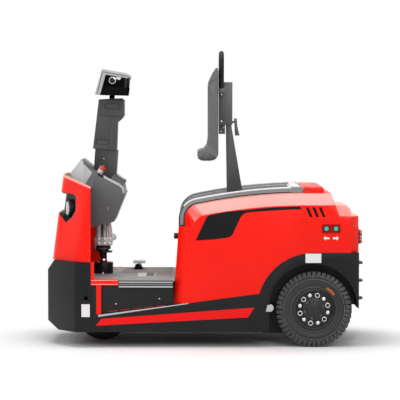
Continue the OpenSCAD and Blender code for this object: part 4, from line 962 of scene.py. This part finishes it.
def headlamps():
    probe = skin_of("headlamps", "lamp_probe")
    faces = [f for f in probe.data.polygons
             if f.center.y < 0.0 and f.normal.x < -0.4 and len(f.vertices) > 12]
    face = max(faces, key=lambda f: f.area)
    place = Matrix.Translation(face.center) @ face.normal.to_track_quat("Y", "Z").to_matrix().to_4x4()
    bpy.data.objects.remove(probe)
    bezel = turned("left_lamp_bezel", [(0.0405, -0.004), (0.0478, -0.004), (0.0478, 0.0035), (0.0462, 0.006),
                                       (0.043, 0.006), (0.0405, 0.002)], steps=64)
    dome = turned("left_lamp_dome", [(0.0002, 0.0105), (0.012, 0.0098), (0.023, 0.008), (0.033, 0.005),
                                     (0.0412, 0.0006), (0.0412, -0.001), (0.0002, -0.001)], steps=48)
    rib = block("left_lens_ribs", (-0.001, 0.004, -0.036), (0.001, 0.0086, 0.036), soft=(0.0008, 1))
    others = [copy_of(rib, f"lens_rib_{i}", Matrix.Translation((i * 0.0085, -0.0002 * i * i, 0.0))
                      @ Matrix.Diagonal((1, 1, 1 - 0.045 * abs(i), 1))) for i in (-3, -2, -1, 1, 2, 3)]
    ribs = join("left_lens_ribs", [rib, *others])
    pair(placed(bezel, place), "black_plastic")
    pair(placed(dome, place), "lamp_lens")
    pair(placed(ribs, place), "lamp_lens", "chrome")


headlamps()


# Console: painted highlight on the hood facets, top trim, dark slot, screws, display and key switch

def console_pieces():
    wall = 0.19
    facet = [(-0.6838, 1.0), (-0.6348, 0.9488), (-0.6652, 0.9002), (-0.6838, 0.868)]
    trim = [(-0.572, 0.934), (-0.48, 0.886), (-0.463, 0.868), (-0.458, 0.832), (-0.464, 0.832), (-0.472, 0.862),
            (-0.486, 0.874), (-0.572, 0.919)]
    slot = [(-0.604, 0.948), (-0.574, 0.932), (-0.574, 0.918), (-0.604, 0.934)]
    # A thin facet plate on each side, toned light grey as a painted highlight.
    flank("hood_highlight_facet", facet, "grey_plastic", "hood_highlight_grey", 0.001, wall)
    flank("console_trim", trim, "grey_plastic", "trim_silver", 0.0016, wall)
    flank("console_slot", slot, "black_plastic", None, 0.0012, wall)
    left_bolts("console_screws", [(-0.5486, 0.753), (-0.5486, 0.742)], wall, 0.0018, 0.0016)

    screen = round_corners(block("display_frame", (0.201, -0.066, 0.0338), (0.27, 0.066, 0.039)), 0.006, 2)
    sink(screen, lambda c, n: n.z > 0.9, 0.006, 0.0016)
    fit(placed(screen, CONSOLE), "black_plastic")
    glass = round_corners(block("display_glass", (0.209, -0.056, 0.037), (0.262, 0.022, 0.038)), 0.003, 2)
    fit(placed(glass, CONSOLE), "black_plastic", "dark_glass")
    key = round_corners(block("display_keys", (0.211, 0.032, 0.037), (0.223, 0.052, 0.0402)), 0.002, 2)
    soften(key, 0.0008, 2)
    keys = copies(key, [Vector((0.018, 0.0, 0.0)), Vector((0.036, 0.0, 0.0))])
    fit(placed(keys, CONSOLE), "guard_grey")
    barrel = [(0.0002, 0.01), (0.011, 0.01), (0.0125, 0.0085), (0.0125, 0.004), (0.0165, 0.003),
              (0.0165, -0.001), (0.0002, -0.001)]
    switch = turned("key_switch", barrel, steps=40)
    switch.data.transform(Matrix.Translation((0.16, 0.125, -0.0045)) @ UPRIGHT)
    fit(placed(switch, CONSOLE), "bare_steel", "chrome")
    blade = block("key_blade", (0.148, 0.1238, 0.0045), (0.172, 0.1262, 0.028), soft=(0.0012, 2))
    fit(placed(blade, CONSOLE), "bare_steel", "zinc")


console_pieces()


# Column: dark inlays in the recesses and screws on the post

for name, low, high, radius in (
    ("left_finger_inlay", (-0.0365, -0.0685, 0.664), (0.0505, -0.0665, 0.694), 0.013),
    ("left_grip_inlay", (-0.0705, -0.0665, 0.4615), (0.0005, -0.0645, 0.4895), 0.0105),
):
    inlay = round_corners(block(name, low, high), radius, 1)
    sink(inlay, lambda c, n: n.dot(LEFT) > 0.9, 0.004, 0.0006)
    pair(placed(inlay, COLUMN), "grey_plastic")
left_bolts("post_screws", [(-0.577, 1.023), (-0.578, 0.984)], 0.058, 0.0026, 0.0024)


# Steering head: rear posts, ribbed grips with bright collars, thumb levers, guard lines and display

def head_pieces():
    body = "steering_head"
    post = block("left_head_post", (0.074, -0.2085, 0.786), (0.0865, -0.1995, 0.852), soft=(0.002, 2))
    pair(placed(post, COLUMN), "black_plastic", None, body)
    grip = Vector((0.004, 0.0, 0.8215))
    rib = drum("left_grip_ribs", 0.0176, grip + LEFT * 0.0974, grip + LEFT * 0.1026, 40, soft=(0.0014, 2))
    pair(placed(copies(rib, [LEFT * 0.0092 * i for i in range(1, 9)]), COLUMN), "black_plastic", None, body)
    collar = drum("left_grip_collar", 0.02, grip + LEFT * 0.178, grip + LEFT * 0.1885, 40, soft=(0.0022, 3))
    pair(placed(collar, COLUMN), "bare_steel", "chrome", body)
    horn = drum("left_thumb_lever", 0.0115, (0.04, -0.15, 0.838), (0.04, -0.192, 0.838), 32, soft=(0.003, 3))
    arm = block("thumb_arm", (0.008, -0.164, 0.829), (0.044, -0.152, 0.841), soft=(0.003, 2))
    pair(placed(join("left_thumb_lever", [horn, arm]), COLUMN), "bare_steel", "chrome", body)
    line = [(-0.072, 0.742), (-0.0515, 0.864), (0.09, 0.8495), (0.09, 0.8525), (-0.0545, 0.8675),
            (-0.075, 0.742)]
    pair(placed(plate("left_guard_line", line, -0.2098, 0.0008), COLUMN), "black_plastic", None, body)
    panel = round_corners(block("head_display", (-0.052, -0.06, 0.0), (0.046, 0.06, 0.006)), 0.01, 2)
    sink(panel, lambda c, n: n.z > 0.9, 0.008, 0.0015)
    panel.data.transform(Matrix.Translation((0.01, 0.0, 0.8545)) @ Matrix.Rotation(math.radians(5.9), 4, "Y"))
    fit(placed(panel, COLUMN), "black_plastic", "dark_glass", body)


head_pieces()


# Steering gear: clamp bolts, hose unions, dark top joint and the bright rings on the shaft

SEAT_PCR = 0.068


def gear_pieces():
    heads = [(x, z) for x in (-0.608, -0.577, -0.546) for z in (0.545, 0.57)]
    left_bolts("gear_bolts", heads, 0.048, 0.0062, 0.007)
    port = (-0.612, -0.03)
    nut = drum("left_gear_unions", 0.0085, (*port, 0.579), (*port, 0.606), 6, soft=(0.0014, 2))
    pipe = drum("gear_pipe", 0.0052, (*port, 0.59), (*port, 0.64), 20, soft=(0.001, 2))
    unions = copies(join("left_gear_unions", [nut, pipe]),
                    [Vector((0.052, 0.0, 0.0)), Vector((0.071, 0.0, 0.0))])
    pair(unions, "bare_steel", "zinc")
    shaft_x = FRONT_AXLE.x
    top = (shaft_x - 0.004, 0.0)
    joint = drum("gear_top_joint", 0.019, (*top, 0.58), (*top, 0.662), soft=(0.004, 2))
    boot = drum("gear_boot", 0.027, (*top, 0.636), (*top, 0.668), soft=(0.005, 3))
    fit(join("gear_top_joint", [joint, boot]), "black_plastic")
    on_shaft = Matrix.Translation((shaft_x, 0.0, 0.0)) @ UPRIGHT
    clamp = [(0.03, 0.51), (0.04, 0.51), (0.042, 0.512), (0.042, 0.521), (0.04, 0.523), (0.03, 0.523)]
    fit(placed(turned("gear_clamp", clamp, steps=48), on_shaft), "bare_steel", "axle_iron")
    ring = [(0.0172, 0.44), (0.0215, 0.44), (0.0225, 0.442), (0.0225, 0.454), (0.0215, 0.456), (0.0172, 0.456)]
    fit(placed(turned("shaft_ring", ring, steps=40), on_shaft), "bare_steel", "chrome", "front_fork")
    spots = [(shaft_x + SEAT_PCR * math.cos(a), SEAT_PCR * math.sin(a), 0.374)
             for a in (math.radians(30 + 60 * i) for i in range(6))]
    bolts("seat_bolts", spots, (0, 0, 1), 0.0068, 0.009)


gear_pieces()


# Floor: ribs of the mat, tread on the brake pad, a boot at its foot, and the hatch's grip and screws

def floor_pieces():
    pitch, rise = 0.023, (0.3735, 0.3756)
    long = block("mat_ribs", (-0.478, -0.372, rise[0]), (-0.196, -0.364, rise[1]))
    short = block("mat_short_ribs", (-0.278, -0.234, rise[0]), (-0.196, -0.226, rise[1]))
    for rib, start, stops in ((long, 0, [*range(1, 6), *range(16, 33)]), (short, 6, range(7, 16))):
        soften(rib, 0.0009, 1)
        copies(rib, [Vector((0.0, pitch * (i - start), 0.0)) for i in stops])
    fit(join("mat_ribs", [long, short]), "floor_rubber")
    tread = block("brake_tread", (-0.422, 0.2, 0.4215), (-0.416, 0.3, 0.4245), soft=(0.001, 1))
    fit(copies(tread, [Vector((0.01 * i, 0.0, 0.0)) for i in range(1, 7)]), "bare_steel", "cast_alloy")
    boot = [(0.0135, 0.404), (0.019, 0.402), (0.0165, 0.397), (0.024, 0.393), (0.0205, 0.388), (0.029, 0.384),
            (0.025, 0.38), (0.035, 0.3745), (0.0135, 0.3745)]
    fit(placed(turned("brake_boot", boot, steps=40), Matrix.Translation((-0.394, 0.25, 0.0)) @ UPRIGHT),
        "black_plastic")
    grip = round_corners(block("hatch_grip", (-0.336, -0.222, 0.3765), (-0.293, -0.028, 0.3782)), 0.006, 2)
    fit(grip, "black_plastic")
    corners = [(x, y, 0.377) for x in (-0.38, -0.342) for y in (-0.215, -0.035)]
    bolts("hatch_screws", corners, (0, 0, 1), 0.0045, 0.003)


floor_pieces()


# Backrest: bright screws on the bracket and the pad's foot

left_bolts("bracket_screws", [(0.0825, 1.384), (0.0825, 1.232)], 0.063, 0.0042, 0.0036, body="backrest")
left_bolts("foot_screws", [(0.081, 1.176), (0.096, 1.198)], 0.03, 0.0038, 0.0034, body="backrest")


# Battery: cell lids, filler caps and links under the bonnet

def battery_top():
    low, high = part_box("battery")
    columns, rows, edge, gap = 6, 4, 0.02, 0.003
    step_x = (high.x - low.x - 2 * edge) / columns
    step_y = (high.y - low.y - 2 * edge) / rows
    x0, y0 = low.x + edge, low.y + edge
    spots = [Vector((i * step_x, j * step_y, 0.0)) for i in range(columns) for j in range(rows)]
    cell = block("battery_cells", (x0 + gap, y0 + gap, high.z - 0.001),
                 (x0 + step_x - gap, y0 + step_y - gap, high.z + 0.006), soft=(0.002, 1))
    fit(copies(cell, spots[1:]), "battery_case")
    middle = (x0 + step_x / 2, y0 + step_y / 2)
    cap = drum("battery_caps", 0.016, (*middle, high.z + 0.005), (*middle, high.z + 0.016), 20, soft=(0.003, 2))
    fit(copies(cap, spots[1:]), "guard_grey", "white_film")
    link = block("battery_links", (x0 + step_x * 0.24, y0 + step_y * 0.72, high.z + 0.005),
                 (x0 + step_x * 0.4, y0 + step_y * 1.28, high.z + 0.011), soft=(0.002, 1))
    last_row = (rows - 1) * step_y - edge
    fit(copies(link, [spot for spot in spots[1:] if spot.y < last_row]), "bare_steel", "axle_iron")


battery_top()


# Rear: tail-lamp bezels and bolts of the coupling

TAIL_AT, TAIL_PITCH = (0.8298, -0.326, 0.584), 0.038


def rear_pieces():
    rim = [(0.0165, 0.0), (0.0225, 0.0), (0.0225, 0.005), (0.0205, 0.008), (0.0184, 0.008), (0.0184, 0.002)]
    bezel = turned("left_tail_bezels", rim, steps=40)
    bezel.data.transform(Matrix.Translation(TAIL_AT) @ Matrix.Rotation(math.radians(-90), 4, "Z"))
    pair(copies(bezel, [Vector((0.0, 0.0, TAIL_PITCH))]), "black_plastic")
    bolts("coupling_bolts", [(0.83, y, z) for y in (-0.12, 0.12) for z in (0.27, 0.4)], (1, 0, 0), 0.011, 0.01)


rear_pieces()


# Studio: pale floor, white surround, soft boxes, and the camera at the photograph's angle

FLOOR_FADE, AMBIENT = (0.92, 1.4), 0.46
CAMERA_AT = (-0.037, -10.4, 1.3)
CAMERA_DIP, CAMERA_VIEW = 2.82, 12.4


def seen_by(tree, first, *others):
    """One for the named kinds of ray and nothing for the rest."""
    path = add(tree, "LightPath")
    share = path.outputs[first]
    for kind in others:
        share = math_node(tree, "ADD", share, path.outputs[kind], clamp=True)
    return share


def studio():
    clear()
    bpy.ops.mesh.primitive_plane_add(size=40.0, location=(0.0, 0.0, 0.0))
    floor = bpy.context.object
    floor.name = "studio_floor"
    paper = bpy.data.materials.new("floor_paper")
    paper.use_nodes = True
    tree = paper.node_tree
    shader = tree.nodes["Principled BSDF"]
    shader.inputs["Roughness"].default_value = 0.9
    shader.inputs["Specular IOR Level"].default_value = 0.0
    speckle = blend_colour(tree, noise(tree, 400.0, 2.0), (0.86, 0.86, 0.86), (0.9, 0.9, 0.9))
    tree.links.new(speckle, shader.inputs["Base Color"])
    white = add(tree, "Emission", {"Color": (1.0, 1.0, 1.0, 1.0), "Strength": 1.0})
    oval = add(tree, "VectorMath", {0: coords(tree), 1: (1.0, 1.5, 0.0)},
               operation="MULTIPLY").outputs["Vector"]
    away = add(tree, "VectorMath", {0: oval}, operation="LENGTH").outputs["Value"]
    far = remap(tree, away, *FLOOR_FADE, interpolation_type="SMOOTHSTEP")
    share = math_node(tree, "MULTIPLY", far, seen_by(tree, "Is Camera Ray", "Is Glossy Ray"))
    both = add(tree, "MixShader", {0: share, 1: shader.outputs[0], 2: white.outputs[0]})
    tree.links.new(both.outputs[0], tree.nodes["Material Output"].inputs["Surface"])
    floor.data.materials.append(paper)

    world = bpy.data.worlds.new("white_surround")
    bpy.context.scene.world = world
    world.use_nodes = True
    tree = world.node_tree
    rays = seen_by(tree, "Is Camera Ray", "Is Transmission Ray", "Is Glossy Ray")
    tree.links.new(remap(tree, rays, 0.0, 1.0, AMBIENT), tree.nodes["Background"].inputs["Strength"])
    tree.nodes["Background"].inputs["Color"].default_value = (1.0, 1.0, 1.0, 1.0)

    for name, place, aim, power, wide, high in (
        ("top_box", (-0.2, -0.5, 4.4), (0.0, 0.0, 0.4), 120.0, 4.0, 3.0),
        ("front_box", (-4.2, -2.6, 2.8), (-0.3, 0.0, 0.6), 60.0, 2.0, 2.4),
        ("camera_box", (1.4, -6.0, 3.2), (0.2, 0.0, 0.6), 85.0, 3.0, 2.4),
    ):
        lamp = bpy.data.lights.new(name, "AREA")
        lamp.shape = "RECTANGLE"
        lamp.size = wide
        lamp.size_y = high
        lamp.energy = power
        box = bpy.data.objects.new(name, lamp)
        box.location = place
        box.rotation_euler = (Vector(aim) - Vector(place)).to_track_quat("-Z", "Y").to_euler()
        bpy.context.scene.collection.objects.link(box)

    camera = bpy.data.cameras.new("photo_camera")
    camera.sensor_width = 36.0
    camera.angle = math.radians(CAMERA_VIEW)
    stand = bpy.data.objects.new("photo_camera", camera)
    stand.location = CAMERA_AT
    stand.rotation_euler = (math.radians(90.0 - CAMERA_DIP), 0.0, 0.0)
    bpy.context.scene.collection.objects.link(stand)
    bpy.context.scene.camera = stand
    bpy.context.scene.view_settings.view_transform = "Standard"


studio()
clear()
